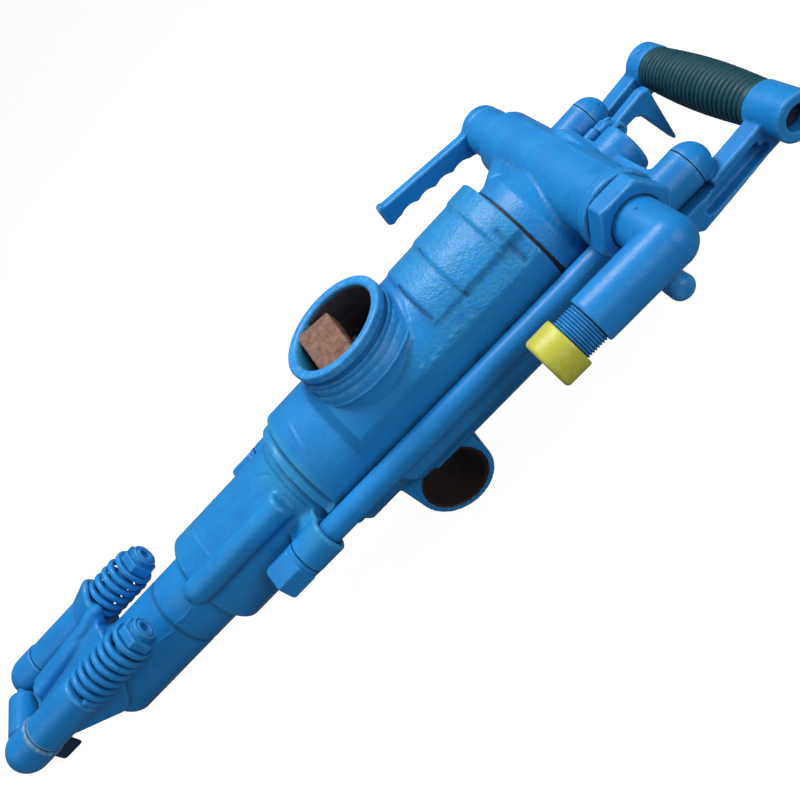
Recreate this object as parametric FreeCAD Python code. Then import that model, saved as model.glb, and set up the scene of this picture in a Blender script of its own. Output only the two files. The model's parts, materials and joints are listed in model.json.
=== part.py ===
import FreeCAD, Part
import math
import os

# Pneumatic rock drill with a feed-leg lug, built up from its separate pieces.
# Modelling frame: X runs forward along the drill axis to the steel, Y to the air inlet side, Z up.
# X is zero under the exhaust neck; every piece is moved to the feed-leg bore when it is saved.

os.makedirs("parts", exist_ok=True)

V = FreeCAD.Vector
AHEAD = V(1, 0, 0)
ASIDE = V(0, 1, 0)
UPWARD = V(0, 0, 1)
CENTRE = V(0, 0, 0)

# Clearances and the one overrun for cuts
overrun = 1.0
running_gap = 0.05
free_gap = 0.3
bolt_gap = 0.5
screw_gap = 0.2

# Power cylinder and the pieces in it
cylinder_bore = 80.0
piston_stroke = 60.0
liner_wall = 4.0
casting_wall = 11.0
front_bore_radius = 34.0
casting_half_width = 48.0
casting_rear_reach = 120.0
casting_front_reach = 88.0
liner_rear_reach = 72.0
liner_front_reach = 42.0
casting_cone_rear = 36.0
casting_cone_front = 44.0
casting_cone_drop = 5.5
front_flange_length = 5.0
front_flange_rise = 1.2
front_neck_length = 8.0
front_neck_drop = 5.0
guide_shoulder = 65.0
front_ear_height = 13.0
pad_reach_list = [46.0, 71.0, 104.0]
pad_rise = 1.3
pad_half_width = 38.0
pad_offset = 1.0
duct_radius = 11.0
duct_side = 27.0
duct_height = 38.0

# Exhaust neck
neck_bore = 66.0
neck_rim_radius = 38.4
neck_rim_height = 68.8
neck_rim_thickness = 6.0
neck_groove_depth = 2.6
neck_groove_width = 4.0
neck_step_radius = 39.2
neck_step_height = 55.5
neck_collar_radius = 41.5
neck_collar_height = 51.5
neck_bead_radius = 44.5
neck_bead_height = 47.0
exhaust_slot_length = 20.0
exhaust_slot_width = 40.0
exhaust_slot_setback = 12.0
land_rear = 2.5
land_front = 25.5
land_low_height = 45.5
land_top_height = 59.0
land_near_side = 22.0

# Feed-leg lug under the cylinder
leg_ahead = 25.0
leg_drop = 70.0
leg_bore = 46.0
leg_lug_radius = 29.5
leg_lug_half_width = 27.0
leg_bush_wall = 1.5
leg_bush_setback = 1.5
leg_mouth_relief = 7.5

# Side bolts, which clamp front head, cylinder, back head and handle together
bolt_spread = 56.0
bolt_diameter = 17.0
bolt_head_flats = 25.0
bolt_head_length = 20.5
bolt_head_chamfer = 1.6
bolt_washer_thickness = 3.0
bolt_washer_radius = 13.0
front_lug_radius = 13.2
front_lug_rear = 94.5
front_lug_front = 117.0
front_lug_web = 20.0
stub_radius = 13.8
stub_front = 146.0
stub_web_rear = 196.0
stub_room = 0.8
foot_length = 0.5
foot_step = 2.0
stub_rear = 210.0
foot_gasket_thickness = 1.2
foot_thread_depth = 6.0

# Front head
barrel_rear_radius = 38.0
barrel_front_radius = 38.0
barrel_front = 190.0
barrel_edge = 3.0
barrel_bore = 62.0
nose_radius = 29.0
nose_front = 299.0
nose_edge = 4.0
nose_bore = 48.4
nose_ring_reach = 221.0
nose_ring_width = 2.0
nose_ring_depth = 1.0
bulge_radius = 9.5
bulge_side = 32.0
bulge_height = 25.0
bulge_rear = 104.0
bulge_front = 176.0
front_collar_length = 6.0

# Steel retainer: two sprung bolts through tubes on the front head, and a fork across the steel
tube_radius = 14.5
near_tube_side = 33.0
near_tube_height = 36.0
near_tube_rear = 288.0
far_tube_side = 36.0
far_tube_height = 32.0
far_tube_rear = 272.0
tube_front = 331.0
cheek_thickness = 14.0
cheek_front_setback = 4.0
tongue_rear = 270.0
tongue_rear_half_width = 27.0
tongue_front = 342.0
tongue_front_half_width = 16.0
tongue_top = 37.0
tongue_thickness = 15.0
tongue_valley_radius = 14.0
tongue_valley_height = 47.0
ridge_radius = 6.5
ridge_rear = 272.5
ridge_rear_side = 20.0
ridge_front_side = 7.0
ridge_height = 35.5
retainer_bolt_diameter = 14.0
retainer_head_radius = 15.5
retainer_head_front = 362.0
retainer_seam = 0.8
spring_wire = 5.2
spring_radius = 13.2
spring_room_radius = 16.8
near_spring_turns = 6.5
far_spring_turns = 5.0
near_spring_rear = 241.0
far_spring_rear = 234.0
spring_seat_gap = 0.4
spring_samples = 48
seat_thickness = 3.6
seat_radius = 14.8
retainer_nut_flats = 23.0
retainer_nut_length = 7.0
retainer_nut_chamfer = 1.0
retainer_end_radius = 9.0
retainer_end_length = 5.0
retainer_socket_flats = 7.0
retainer_socket_depth = 3.5
fork_pin_ahead = 354.0
fork_pin_diameter = 8.0
fork_pin_height = 36.0
fork_pin_reach = 33.0
fork_hub_radius = 9.5
fork_hub_half_length = 17.0
fork_half_width = 17.0
fork_setback = 9.5
fork_thickness = 18.5
fork_slot = 26.0
fork_low = 6.0
fork_corner = 3.0

# Chuck
chuck_shoulder = 184.0
chuck_front = 297.0
chuck_bore = 40.0
chuck_bush_setback = 1.0
shank_flats = 22.2
shank_clearance = 0.6
shank_length = 108.0
rotation_nut_front = 130.0
rotation_nut_radius = 25.0
rotation_nut_bore = 39.0

# Piston, rifle bar, ratchet and valve
piston_rear = 69.0
piston_length = 46.0
piston_stem_radius = 18.8
piston_stem_front = 126.0
piston_flute_radius = 4.0
piston_flute_count = 4
guide_bush_front = 94.0
rifle_lead = 900.0
rifle_bar_half = 10.5
rifle_bar_corner = 4.0
rifle_bar_front = 26.0
rifle_bar_neck_radius = 13.0
rifle_nut_radius = 24.0
rifle_nut_length = 30.0
rifle_nut_gap = 0.35
rifle_stage = 10.0
rifle_head_radius = 30.0
pawl_count = 4
pawl_width = 7.0
pawl_height = 8.0
pawl_setback = 2.0
ratchet_tip_radius = 32.0
ratchet_root_radius = 35.0
ratchet_teeth = 15
ratchet_length = 20.0
valve_cover_length = 9.0
valve_room_length = 9.0
valve_room_radius = 33.0
valve_ring_bore = 18.0
valve_ring_thickness = 5.0
valve_port_radius = 3.5
valve_port_count = 6
valve_port_circle = 27.0
needle_radius = 3.0
needle_room = 5.0
needle_front = 196.0
needle_rear = 196.0
packing_rear = 192.0

# Back head
gasket_thickness = 2.0
gasket_radius = 49.0
head_flange_radius = 48.6
head_flange_length = 12.0
head_body_radius = 41.0
head_body_rear = 186.0
head_waist = 148.0
throttle_back = 163.0
throttle_height = 23.5
throttle_barrel_radius = 22.0
throttle_far_side = 103.0
throttle_near_side = 66.0
throttle_bore = 29.0
throttle_bearing_radius = 17.0
throttle_bearing_length = 32.0
throttle_end_wall = 6.0
throttle_face_radius = 24.0
throttle_face_length = 7.0
throttle_edge = 4.0
stub_web = 22.0
boss_radius = 17.5
boss_rear = 208.0
needle_well_radius = 9.0
needle_well_front = 183.0
gland_flats = 10.0
gland_socket_depth = 3.0
gland_thread_length = 5.0

# Throttle valve and lever
throttle_wall = 5.0
throttle_port_radius = 6.5
throttle_port_height = 15.0
throttle_spindle_radius = 9.0
lever_hub_radius = 16.5
lever_hub_length = 11.0
lever_reach = 95.0
lever_rise = 14.5
lever_depth = 17.0
lever_thickness = 9.0
lever_top_drop = 2.0
lever_wave_radius = 13.0
lever_wave_count = 4
lever_wave_bite = 2.6
lever_wave_start = 28.0
lever_wave_pitch = 16.0
lever_flange_length = 4.0
lever_flange_rise = 2.0
lever_slot_inner = 10.5
lever_slot_outer = 13.8
lever_screw_radius = 6.5
lever_screw_head = 4.0
lever_screw_flats = 6.0
lever_screw_shank = 4.0

# Air inlet
swivel_flats = 43.0
swivel_length = 15.0
swivel_spigot_radius = 17.8
swivel_spigot_length = 5.0
swivel_chamfer = 3.0
elbow_radius = 15.0
elbow_wall = 4.0
elbow_root_radius = 15.2
elbow_flange_thickness = 4.0
elbow_side = 117.0
elbow_leg_front = 107.0
inlet_thread_radius = 13.2
inlet_thread_pitch = 1.8
inlet_thread_depth = 1.1
inlet_thread_front = 77.0
inlet_bore_radius = 9.5
screen_radius = 9.2
screen_length = 28.0
screen_wall = 1.0
cap_radius = 16.2
cap_rear = 92.0
cap_front = 74.0
cap_edge = 1.5
seal_thickness = 3.0

# Handle
arm_inner = 56.5
arm_thickness = 14.0
arm_top = -9.0
arm_depth = 20.0
arm_rise = 5.0
arm_foot_front = 190.0
arm_foot_drop = 4.0
arm_slot_height = -21.0
arm_slot_depth = 6.0
arm_slot_width = 8.0
arm_slot_front = 206.0
arm_slot_rear = 246.0
handle_back = 266.0
handle_height = -10.0
hub_radius = 14.5
hub_inner = 53.0
hub_near_outer = 84.0
hub_far_outer = 68.0
hub_bore_radius = 8.0
hub_recess = 9.0
grip_radius = 13.6
grip_bulge = 2.0
grip_rib_count = 20
grip_rib_depth = 1.3
grip_rib_share = 0.6

# Quick-retract trigger and its valve
trigger_side = 30.0
trigger_thickness = 9.0
trigger_pivot_back = 214.0
trigger_pivot_height = -3.0
trigger_pin_diameter = 6.0
trigger_arm_reach = 31.0
trigger_arm_depth = 8.6
trigger_blade_thickness = 12.0
trigger_blade_drop = 40.0
trigger_tip_thickness = 1.8
trigger_nub_radius = 2.0
trigger_ear_thickness = 4.0
trigger_ear_radius = 6.5
trigger_heel = 10.0
trigger_heel_height = 10.0
plunger_rise = 8.0
plunger_radius = 4.0
plunger_length = 16.0
plunger_cap_length = 4.0
plunger_spring_radius = 5.5
plunger_spring_length = 7.0
plunger_travel_room = 2.2

# Regulator for the feed leg, and the water connection
regulator_back = 160.0
regulator_height = -34.0
regulator_boss_radius = 14.0
regulator_boss_side = 56.0
regulator_bore_radius = 8.0
regulator_bore_depth = 52.0
regulator_thread_length = 10.0
regulator_gland_flats = 22.0
regulator_gland_length = 8.0
regulator_stem_radius = 4.5
regulator_knob_radius = 8.0
regulator_knob_side = 86.0
water_back = 198.0
nipple_radius = 7.0
nipple_bore_radius = 4.0
nipple_length = 26.0
nipple_flats = 17.0
nipple_nut_length = 8.0
nipple_barb_rise = 1.2
nipple_barb_length = 5.0
nipple_barb_count = 3

# Sizes that follow from the ones above
bore_radius = cylinder_bore / 2
liner_radius = bore_radius + liner_wall
casting_radius = liner_radius + casting_wall
casting_front_radius = casting_radius - casting_cone_drop
casting_neck_radius = casting_front_radius - front_neck_drop
insert_radius = liner_radius - running_gap
gasket_rear = casting_rear_reach + gasket_thickness
bolt_radius = bolt_diameter / 2
bolt_hole_radius = bolt_radius + bolt_gap
barrel_bore_radius = barrel_bore / 2
nose_bore_radius = nose_bore / 2
chuck_bore_radius = chuck_bore / 2
chuck_rear = guide_bush_front + free_gap
shank_rear = chuck_front - shank_length
stem_hole_radius = piston_stem_radius + running_gap
ratchet_front = ratchet_length - casting_rear_reach
cover_front = ratchet_front + valve_cover_length
room_front = cover_front + valve_room_length
rifle_head_rear = free_gap - gasket_rear
rifle_head_front = ratchet_front - free_gap
throttle_bore_radius = throttle_bore / 2
throttle_face = throttle_near_side + throttle_face_length
lever_outer = -throttle_far_side - lever_hub_length
bearing_inner = throttle_far_side - throttle_bearing_length
bore_inner = bearing_inner - throttle_end_wall
spigot_end = throttle_face + swivel_spigot_length
elbow_start = spigot_end + seal_thickness
foot_front = stub_rear + foot_gasket_thickness
plunger_height = trigger_pivot_height + plunger_rise
plunger_rear = -trigger_pivot_back + trigger_heel + free_gap
plunger_front = plunger_rear + plunger_length
grip_half_length = hub_inner - free_gap
SIDES = (1, -1)
RETAINER_SIDES = {1: (near_tube_side, near_tube_height, near_tube_rear, near_spring_rear, near_spring_turns),
                  -1: (-far_tube_side, far_tube_height, far_tube_rear, far_spring_rear, far_spring_turns)}


def along_x(radius, x_from, x_to, y=0.0, z=0.0):
    return Part.makeCylinder(radius, x_to - x_from, V(x_from, y, z), AHEAD)


def along_y(radius, y_from, y_to, x=0.0, z=0.0):
    return Part.makeCylinder(radius, y_to - y_from, V(x, y_from, z), ASIDE)


def along_z(radius, z_from, z_to, x=0.0, y=0.0):
    return Part.makeCylinder(radius, z_to - z_from, V(x, y, z_from), UPWARD)


def ball(radius, x, y, z):
    return Part.makeSphere(radius, V(x, y, z))


def block(x_from, x_to, y_from, y_to, z_from, z_to):
    return Part.makeBox(x_to - x_from, y_to - y_from, z_to - z_from, V(x_from, y_from, z_from))


def plate_across(outline, y_from, y_to):
    """A plate with its outline in X and Z."""
    corners = [V(x, y_from, z) for x, z in outline]
    face = Part.Face(Part.makePolygon(corners + corners[:1]))
    return face.extrude(V(0, y_to - y_from, 0))


def bar_ahead(outline, x_from, x_to):
    """A bar with its outline in Y and Z."""
    corners = [V(x_from, y, z) for y, z in outline]
    face = Part.Face(Part.makePolygon(corners + corners[:1]))
    return face.extrude(V(x_to - x_from, 0, 0))


def turned(outline, y=0.0, z=0.0):
    """A turned piece about the X direction, from pairs of station and radius."""
    corners = [V(x, y, z + r) for x, r in outline]
    face = Part.Face(Part.makePolygon(corners + corners[:1]))
    return face.revolve(V(0, y, z), AHEAD, 360)


def hexagon(flats, length, start, direction):
    radius = flats / math.sqrt(3)
    corners = []
    for step in range(6):
        angle = math.radians(60 * step)
        corners.append(V(radius * math.cos(angle), radius * math.sin(angle), 0))
    face = Part.Face(Part.makePolygon(corners + corners[:1]))
    bar = face.extrude(V(0, 0, length))
    bar.Placement = FreeCAD.Placement(start, FreeCAD.Rotation(UPWARD, direction))
    return bar


def chamfered_hexagon(flats, length, start, direction, corner_cut):
    """A hexagonal bar whose corners are turned off at both ends."""
    bar = hexagon(flats, length, start, direction)
    radius = flats / math.sqrt(3)
    outline = [V(0, 0, 0), V(radius - corner_cut, 0, 0), V(radius, 0, corner_cut / 2),
               V(radius, 0, length - corner_cut / 2), V(radius - corner_cut, 0, length), V(0, 0, length)]
    face = Part.Face(Part.makePolygon(outline + outline[:1]))
    envelope = face.revolve(CENTRE, UPWARD, 360)
    envelope.Placement = FreeCAD.Placement(start, FreeCAD.Rotation(UPWARD, direction))
    return bar.common(envelope)


def joined(*pieces):
    return pieces[0].multiFuse(list(pieces[1:])).removeSplitter()


def save(name, *pieces):
    solids = []
    for piece in pieces:
        solids.extend(piece.Solids)
    shape = solids[0] if len(solids) == 1 else Part.makeCompound(solids)
    shape = shape.copy()
    shape.translate(V(-leg_ahead, 0, leg_drop))
    shape.exportStep("parts/" + name + ".step")


def rod_holes(radius, x_from, x_to):
    holes = [along_x(radius, x_from, x_to, side * bolt_spread) for side in SIDES]
    return Part.makeCompound(holes)


def spaced(shape, count):
    """Copies of a shape, evenly spaced about the drill axis."""
    copies = []
    for step in range(count):
        copy = shape.copy()
        copy.rotate(CENTRE, AHEAD, step * 360 / count)
        copies.append(copy)
    return copies


def casting_outside():
    rear = -casting_rear_reach
    front = casting_front_reach
    neck_start = front - front_neck_length
    body = turned([(rear, 0), (rear, casting_radius), (casting_cone_rear, casting_radius),
                   (casting_cone_front, casting_front_radius), (neck_start - overrun, casting_front_radius),
                   (neck_start, casting_neck_radius), (front, casting_neck_radius), (front, 0)])
    flange = along_x(casting_neck_radius + front_flange_rise, front - front_flange_length, front)
    pads = []
    for order, reach in enumerate(pad_reach_list):
        pad = along_x(casting_radius + pad_rise * (order + 1), rear, -reach)
        window = block(rear, -reach, pad_offset - pad_half_width, pad_offset + pad_half_width,
                       0, casting_radius * 2)
        pads.append(pad.common(window))
    flats = block(rear, front, -casting_half_width, casting_half_width, -casting_radius, casting_radius * 2)
    return joined(body, flange, *pads).common(flats)


def exhaust_neck():
    rim_low = neck_rim_height - neck_rim_thickness
    groove_low = rim_low - neck_groove_width
    outline = [(0, 0), (0, neck_bead_radius), (neck_bead_height, neck_bead_radius),
               (neck_collar_height, neck_collar_radius), (neck_step_height, neck_step_radius),
               (groove_low, neck_rim_radius), (groove_low, neck_rim_radius - neck_groove_depth),
               (rim_low, neck_rim_radius - neck_groove_depth), (rim_low, neck_rim_radius),
               (neck_rim_height, neck_rim_radius), (neck_rim_height, 0)]
    corners = [V(r, 0, z) for z, r in outline]
    face = Part.Face(Part.makePolygon(corners + corners[:1]))
    return face.revolve(CENTRE, UPWARD, 360)


def exhaust_land():
    """The bare bridge of iron inside the neck, ahead of the exhaust slot."""
    half = neck_bore / 2
    slope = bar_ahead([(-half, 0), (-half, land_top_height), (land_near_side, land_low_height),
                       (land_near_side, 0)], land_rear, land_front)
    return slope.common(along_z(half + overrun, 0, neck_rim_height))


def cylinder():
    rear = -casting_rear_reach
    front = casting_front_reach
    duct = along_x(duct_radius, rear, leg_ahead, duct_side, -duct_height)
    lug = along_y(leg_lug_radius, -leg_lug_half_width, leg_lug_half_width, leg_ahead, -leg_drop)
    lug_neck = block(leg_ahead - leg_lug_radius, leg_ahead + leg_lug_radius, -leg_lug_half_width,
                     leg_lug_half_width, -leg_drop, -bore_radius)
    ears = []
    for side in SIDES:
        reach = side * bolt_spread
        ears.append(block(front - front_neck_length, front, min(0, reach), max(0, reach),
                          -front_ear_height / 2, front_ear_height / 2))
    body = joined(casting_outside(), duct, lug, lug_neck, exhaust_neck(), *ears)
    body = body.cut(along_z(neck_bore / 2, 0, neck_rim_height + overrun))
    body = joined(body, exhaust_land())
    step = guide_shoulder
    body = body.cut(along_x(liner_radius, rear - overrun, step))
    body = body.cut(along_x(front_bore_radius, step - overrun, front + overrun))
    body = body.cut(along_y(leg_bore / 2 + leg_bush_wall + screw_gap, -leg_lug_half_width - leg_mouth_relief,
                            leg_lug_half_width + leg_mouth_relief, leg_ahead, -leg_drop))
    return body.cut(rod_holes(bolt_hole_radius, rear - overrun, front + overrun))


def cylinder_liner():
    shell = along_x(insert_radius, -liner_rear_reach, liner_front_reach)
    half = exhaust_slot_length / 2
    slot = block(-exhaust_slot_setback - half, half - exhaust_slot_setback, -exhaust_slot_width / 2,
                 exhaust_slot_width / 2, 0, liner_radius)
    bore = along_x(bore_radius, -liner_rear_reach - overrun, liner_front_reach + overrun)
    return shell.cut(bore).cut(slot)


def leg_bush():
    half = leg_lug_half_width - leg_bush_setback
    ring = along_y(leg_bore / 2 + leg_bush_wall, -half, half, leg_ahead, -leg_drop)
    return ring.cut(along_y(leg_bore / 2, -half - overrun, half + overrun, leg_ahead, -leg_drop))


def cheek(side):
    """The side wall under a retainer tube, cut away towards the steel."""
    y, z = RETAINER_SIDES[side][:2]
    outline = [(tongue_rear, z / 2), (near_tube_rear, 0), (nose_front - nose_edge, 0),
               (tube_front - cheek_front_setback, z / 2), (tube_front, z - tube_radius / 2),
               (tube_front, z), (tongue_rear, z)]
    inner = y - side * tube_radius
    outer = inner + side * cheek_thickness
    return plate_across(outline, min(inner, outer), max(inner, outer))


def tongue():
    outline = [V(tongue_rear, tongue_rear_half_width, 0), V(tube_front, tongue_front_half_width, 0),
               V(tongue_front, tongue_front_half_width, 0), V(tongue_front, -tongue_front_half_width, 0),
               V(tube_front, -tongue_front_half_width, 0), V(tongue_rear, -tongue_rear_half_width, 0)]
    face = Part.Face(Part.makePolygon(outline + outline[:1]))
    face.translate(V(0, 0, tongue_top - tongue_thickness))
    plate = face.extrude(V(0, 0, tongue_thickness))
    valley = along_x(tongue_valley_radius, tongue_rear - overrun, tongue_front + overrun, 0, tongue_valley_height)
    start = V(ridge_rear, -ridge_rear_side, ridge_height)
    run = V(tongue_front - ridge_radius, -ridge_front_side, ridge_height) - start
    ridge = Part.makeCylinder(ridge_radius, run.Length, start, run)
    return joined(plate.cut(valley), ridge, ball(ridge_radius, start.x, start.y, start.z))


def front_head():
    front = casting_front_reach
    barrel = turned([(front, 0), (front, barrel_rear_radius), (barrel_front - barrel_edge, barrel_front_radius),
                     (barrel_front, barrel_front_radius - barrel_edge), (barrel_front, nose_radius),
                     (nose_front - nose_edge, nose_radius), (nose_front, nose_radius - nose_edge / 2),
                     (nose_front, 0)])
    collar = along_x(barrel_rear_radius + front_flange_rise, front, front + front_collar_length)
    pieces = [barrel, collar, tongue(),
              along_x(bulge_radius, bulge_rear, bulge_front, bulge_side, bulge_height),
              ball(bulge_radius, bulge_front, bulge_side, bulge_height)]
    for side in SIDES:
        lug = along_x(front_lug_radius, front_lug_rear, front_lug_front, side * bolt_spread)
        web = block(front_lug_rear, front_lug_front, min(0, side * bolt_spread), max(0, side * bolt_spread),
                    -front_lug_web / 2, front_lug_web / 2)
        y, z, tube_rear, spring_rear, turns = RETAINER_SIDES[side]
        pieces += [lug, web, along_x(tube_radius, tube_rear, tube_front, y, z), cheek(side)]
    head = joined(*pieces)
    for side in SIDES:
        y, z, tube_rear, spring_rear, turns = RETAINER_SIDES[side]
        head = head.cut(along_x(spring_room_radius, spring_rear - seat_thickness - overrun, tube_rear, y, z))
        head = head.cut(along_x(retainer_bolt_diameter / 2 + bolt_gap, tube_rear - overrun, tube_front + overrun,
                                y, z))
    ring = along_x(nose_radius + overrun, nose_ring_reach, nose_ring_reach + nose_ring_width)
    ring = ring.cut(along_x(nose_radius - nose_ring_depth, nose_ring_reach, nose_ring_reach + nose_ring_width))
    head = head.cut(ring)
    head = head.cut(along_x(barrel_bore_radius, front - overrun, chuck_shoulder + free_gap))
    head = head.cut(along_x(nose_bore_radius, chuck_shoulder, nose_front + overrun))
    steel_room = along_x(fork_slot / 2 + chuck_bore_radius / 2, nose_front - overrun, tongue_front + overrun)
    return head.cut(steel_room).cut(rod_holes(bolt_hole_radius, front - overrun, front_lug_front + overrun))


def guide_bush():
    rear = liner_front_reach + free_gap
    bush = joined(along_x(insert_radius, rear, guide_shoulder - free_gap),
                  along_x(front_bore_radius - running_gap, rear, casting_front_reach),
                  along_x(barrel_bore_radius - running_gap, rear, guide_bush_front))
    return bush.cut(along_x(stem_hole_radius, rear - overrun, guide_bush_front + overrun))


def chuck_sleeve():
    body = joined(along_x(barrel_bore_radius - running_gap, chuck_rear, chuck_shoulder),
                  along_x(nose_bore_radius - running_gap, chuck_shoulder, chuck_front))
    nut_room = along_x(rotation_nut_radius + running_gap, chuck_rear - overrun, rotation_nut_front + running_gap)
    return body.cut(nut_room).cut(along_x(chuck_bore_radius, chuck_rear, chuck_front + overrun))


def rotation_nut():
    nut = along_x(rotation_nut_radius, chuck_rear, rotation_nut_front)
    nut = nut.cut(along_x(rotation_nut_bore / 2, chuck_rear - overrun, rotation_nut_front + overrun))
    key = along_x(piston_flute_radius - free_gap, chuck_rear, rotation_nut_front, stem_hole_radius)
    return joined(nut, *spaced(key, piston_flute_count))


def chuck_bush():
    bush = along_x(chuck_bore_radius - running_gap, shank_rear - chuck_bush_setback, chuck_front)
    hole = hexagon(shank_flats + shank_clearance, shank_length * 2, V(shank_rear - shank_length / 2, 0, 0), AHEAD)
    return bush.cut(hole)


def rifle_section(grow, x):
    """A square with cut corners, turned by the rifling at station x."""
    reach = rifle_bar_half + grow
    short = rifle_bar_half - rifle_bar_corner + grow / 2
    places = [(reach, short), (short, reach), (-short, reach), (-reach, short),
              (-reach, -short), (-short, -reach), (short, -reach), (reach, -short)]
    angle = 2 * math.pi * x / rifle_lead
    cosine = math.cos(angle)
    sine = math.sin(angle)
    corners = [V(x, y * cosine - z * sine, y * sine + z * cosine) for y, z in places]
    return Part.makePolygon(corners + corners[:1])


def rifled(grow, x_from, x_to):
    stages = max(1, round((x_to - x_from) / rifle_stage))
    sections = [rifle_section(grow, x_from + (x_to - x_from) * stage / stages) for stage in range(stages + 1)]
    return Part.makeLoft(sections, True, True)


def piston():
    rear = -piston_rear
    body = joined(along_x(bore_radius - running_gap, rear, rear + piston_length),
                  along_x(piston_stem_radius, rear, piston_stem_front))
    body = body.cut(along_x(rifle_nut_radius + running_gap, rear - overrun, rear + rifle_nut_length))
    body = body.cut(along_x(rifle_bar_half + rifle_bar_corner, rear, rifle_bar_front + rifle_stage))
    body = body.cut(along_x(needle_room, rear, piston_stem_front + overrun))
    flute = along_x(piston_flute_radius, chuck_rear - piston_stroke - free_gap, piston_stem_front + overrun,
                    piston_stem_radius)
    return body.cut(Part.makeCompound(spaced(flute, piston_flute_count)))


def rifle_nut():
    rear = -piston_rear
    nut = along_x(rifle_nut_radius, rear, rear + rifle_nut_length)
    return nut.cut(rifled(rifle_nut_gap, rear - overrun, rear + rifle_nut_length + overrun))


def rifle_bar():
    neck_front = free_gap - liner_rear_reach
    body = joined(rifled(0.0, neck_front, rifle_bar_front),
                  along_x(rifle_bar_neck_radius, rifle_head_front, neck_front),
                  along_x(rifle_head_radius, rifle_head_rear, rifle_head_front))
    slot = block(rifle_head_rear + pawl_setback - free_gap, rifle_head_front - pawl_setback + free_gap,
                 -pawl_width / 2 - free_gap, pawl_width / 2 + free_gap,
                 rifle_head_radius - pawl_height - running_gap, rifle_head_radius + overrun)
    body = body.cut(Part.makeCompound(spaced(slot, pawl_count)))
    return body.cut(along_x(needle_room, rifle_head_rear - overrun, rifle_bar_front + overrun))


def pawls():
    rear = rifle_head_rear + pawl_setback
    front = rifle_head_front - pawl_setback
    top = ratchet_tip_radius - free_gap
    pawl = block(rear, front, -pawl_width / 2, pawl_width / 2, rifle_head_radius - pawl_height, ratchet_tip_radius)
    return spaced(pawl.common(along_x(top, rear, front)), pawl_count)


def ratchet_ring():
    rear = -casting_rear_reach
    ring = along_x(insert_radius, rear, ratchet_front)
    corners = []
    for tooth in range(ratchet_teeth):
        start = 2 * math.pi * tooth / ratchet_teeth
        end = 2 * math.pi * (tooth + 1) / ratchet_teeth
        for radius, angle in ((ratchet_tip_radius, start), (ratchet_root_radius, end)):
            corners.append(V(rear - overrun, radius * math.cos(angle), radius * math.sin(angle)))
    face = Part.Face(Part.makePolygon(corners + corners[:1]))
    teeth = face.extrude(V(ratchet_length + overrun * 2, 0, 0))
    disc = along_x(ratchet_tip_radius, rear - overrun, ratchet_front + overrun)
    return ring.cut(teeth).cut(disc)


def port_ring(x_from, x_to):
    port = along_x(valve_port_radius, x_from - overrun, x_to + overrun, valve_port_circle)
    return Part.makeCompound(spaced(port, valve_port_count))


def valve_cover():
    disc = along_x(insert_radius, ratchet_front, cover_front)
    bore = along_x(rifle_bar_neck_radius + running_gap, ratchet_front - overrun, cover_front + overrun)
    return disc.cut(bore).cut(port_ring(ratchet_front, cover_front))


def valve_chest():
    front = -liner_rear_reach
    chest = along_x(insert_radius, cover_front, front)
    chest = chest.cut(along_x(valve_room_radius, cover_front - overrun, room_front))
    chest = chest.cut(along_x(rifle_bar_neck_radius + running_gap, cover_front, front + overrun))
    return chest.cut(port_ring(room_front, front))


def valve_ring():
    rear = cover_front + free_gap
    ring = along_x(valve_room_radius - free_gap, rear, rear + valve_ring_thickness)
    return ring.cut(along_x(valve_ring_bore, rear - overrun, rear + valve_ring_thickness + overrun))


def head_gasket():
    ring = along_x(gasket_radius, -gasket_rear, -casting_rear_reach)
    ring = ring.cut(along_x(bore_radius, -gasket_rear - overrun, overrun - casting_rear_reach))
    return ring.cut(rod_holes(bolt_hole_radius, -gasket_rear - overrun, overrun - casting_rear_reach))


def trigger_ears():
    ears = []
    for side in SIDES:
        near = side * (trigger_thickness / 2 + free_gap)
        far = side * (trigger_thickness / 2 + free_gap + trigger_ear_thickness)
        low = min(near, far) - trigger_side
        high = max(near, far) - trigger_side
        round_end = along_y(trigger_ear_radius, low, high, -trigger_pivot_back, trigger_pivot_height)
        strap = block(-trigger_pivot_back, -head_body_rear, low, high,
                      trigger_pivot_height - trigger_ear_radius, trigger_pivot_height + trigger_ear_radius)
        ears.append(joined(round_end, strap))
    return ears


def back_head_outside():
    front = -gasket_rear
    flange_rear = front - head_flange_length
    body = turned([(front, 0), (front, head_flange_radius), (flange_rear, head_flange_radius),
                   (-head_waist, head_body_radius), (-head_body_rear + throttle_edge, head_body_radius),
                   (-head_body_rear, head_body_radius - throttle_edge), (-head_body_rear, 0)])
    x = -throttle_back
    z = throttle_height
    pieces = [body, along_x(boss_radius, -boss_rear, -head_body_rear),
              along_y(throttle_bearing_radius, -throttle_far_side, -bearing_inner, x, z),
              along_y(throttle_barrel_radius, -bearing_inner, throttle_near_side, x, z),
              along_y(throttle_face_radius, throttle_near_side, throttle_face, x, z),
              along_y(swivel_spigot_radius, throttle_face, spigot_end, x, z),
              along_y(regulator_boss_radius, 0, regulator_boss_side, -regulator_back, regulator_height)]
    for side in SIDES:
        reach = side * bolt_spread
        pieces.append(along_x(stub_radius, -stub_rear, -stub_front, reach))
        pieces.append(block(-stub_web_rear, -stub_front, min(0, reach), max(0, reach),
                            -stub_web / 2, stub_web / 2))
    return joined(*pieces, *trigger_ears())


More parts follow.
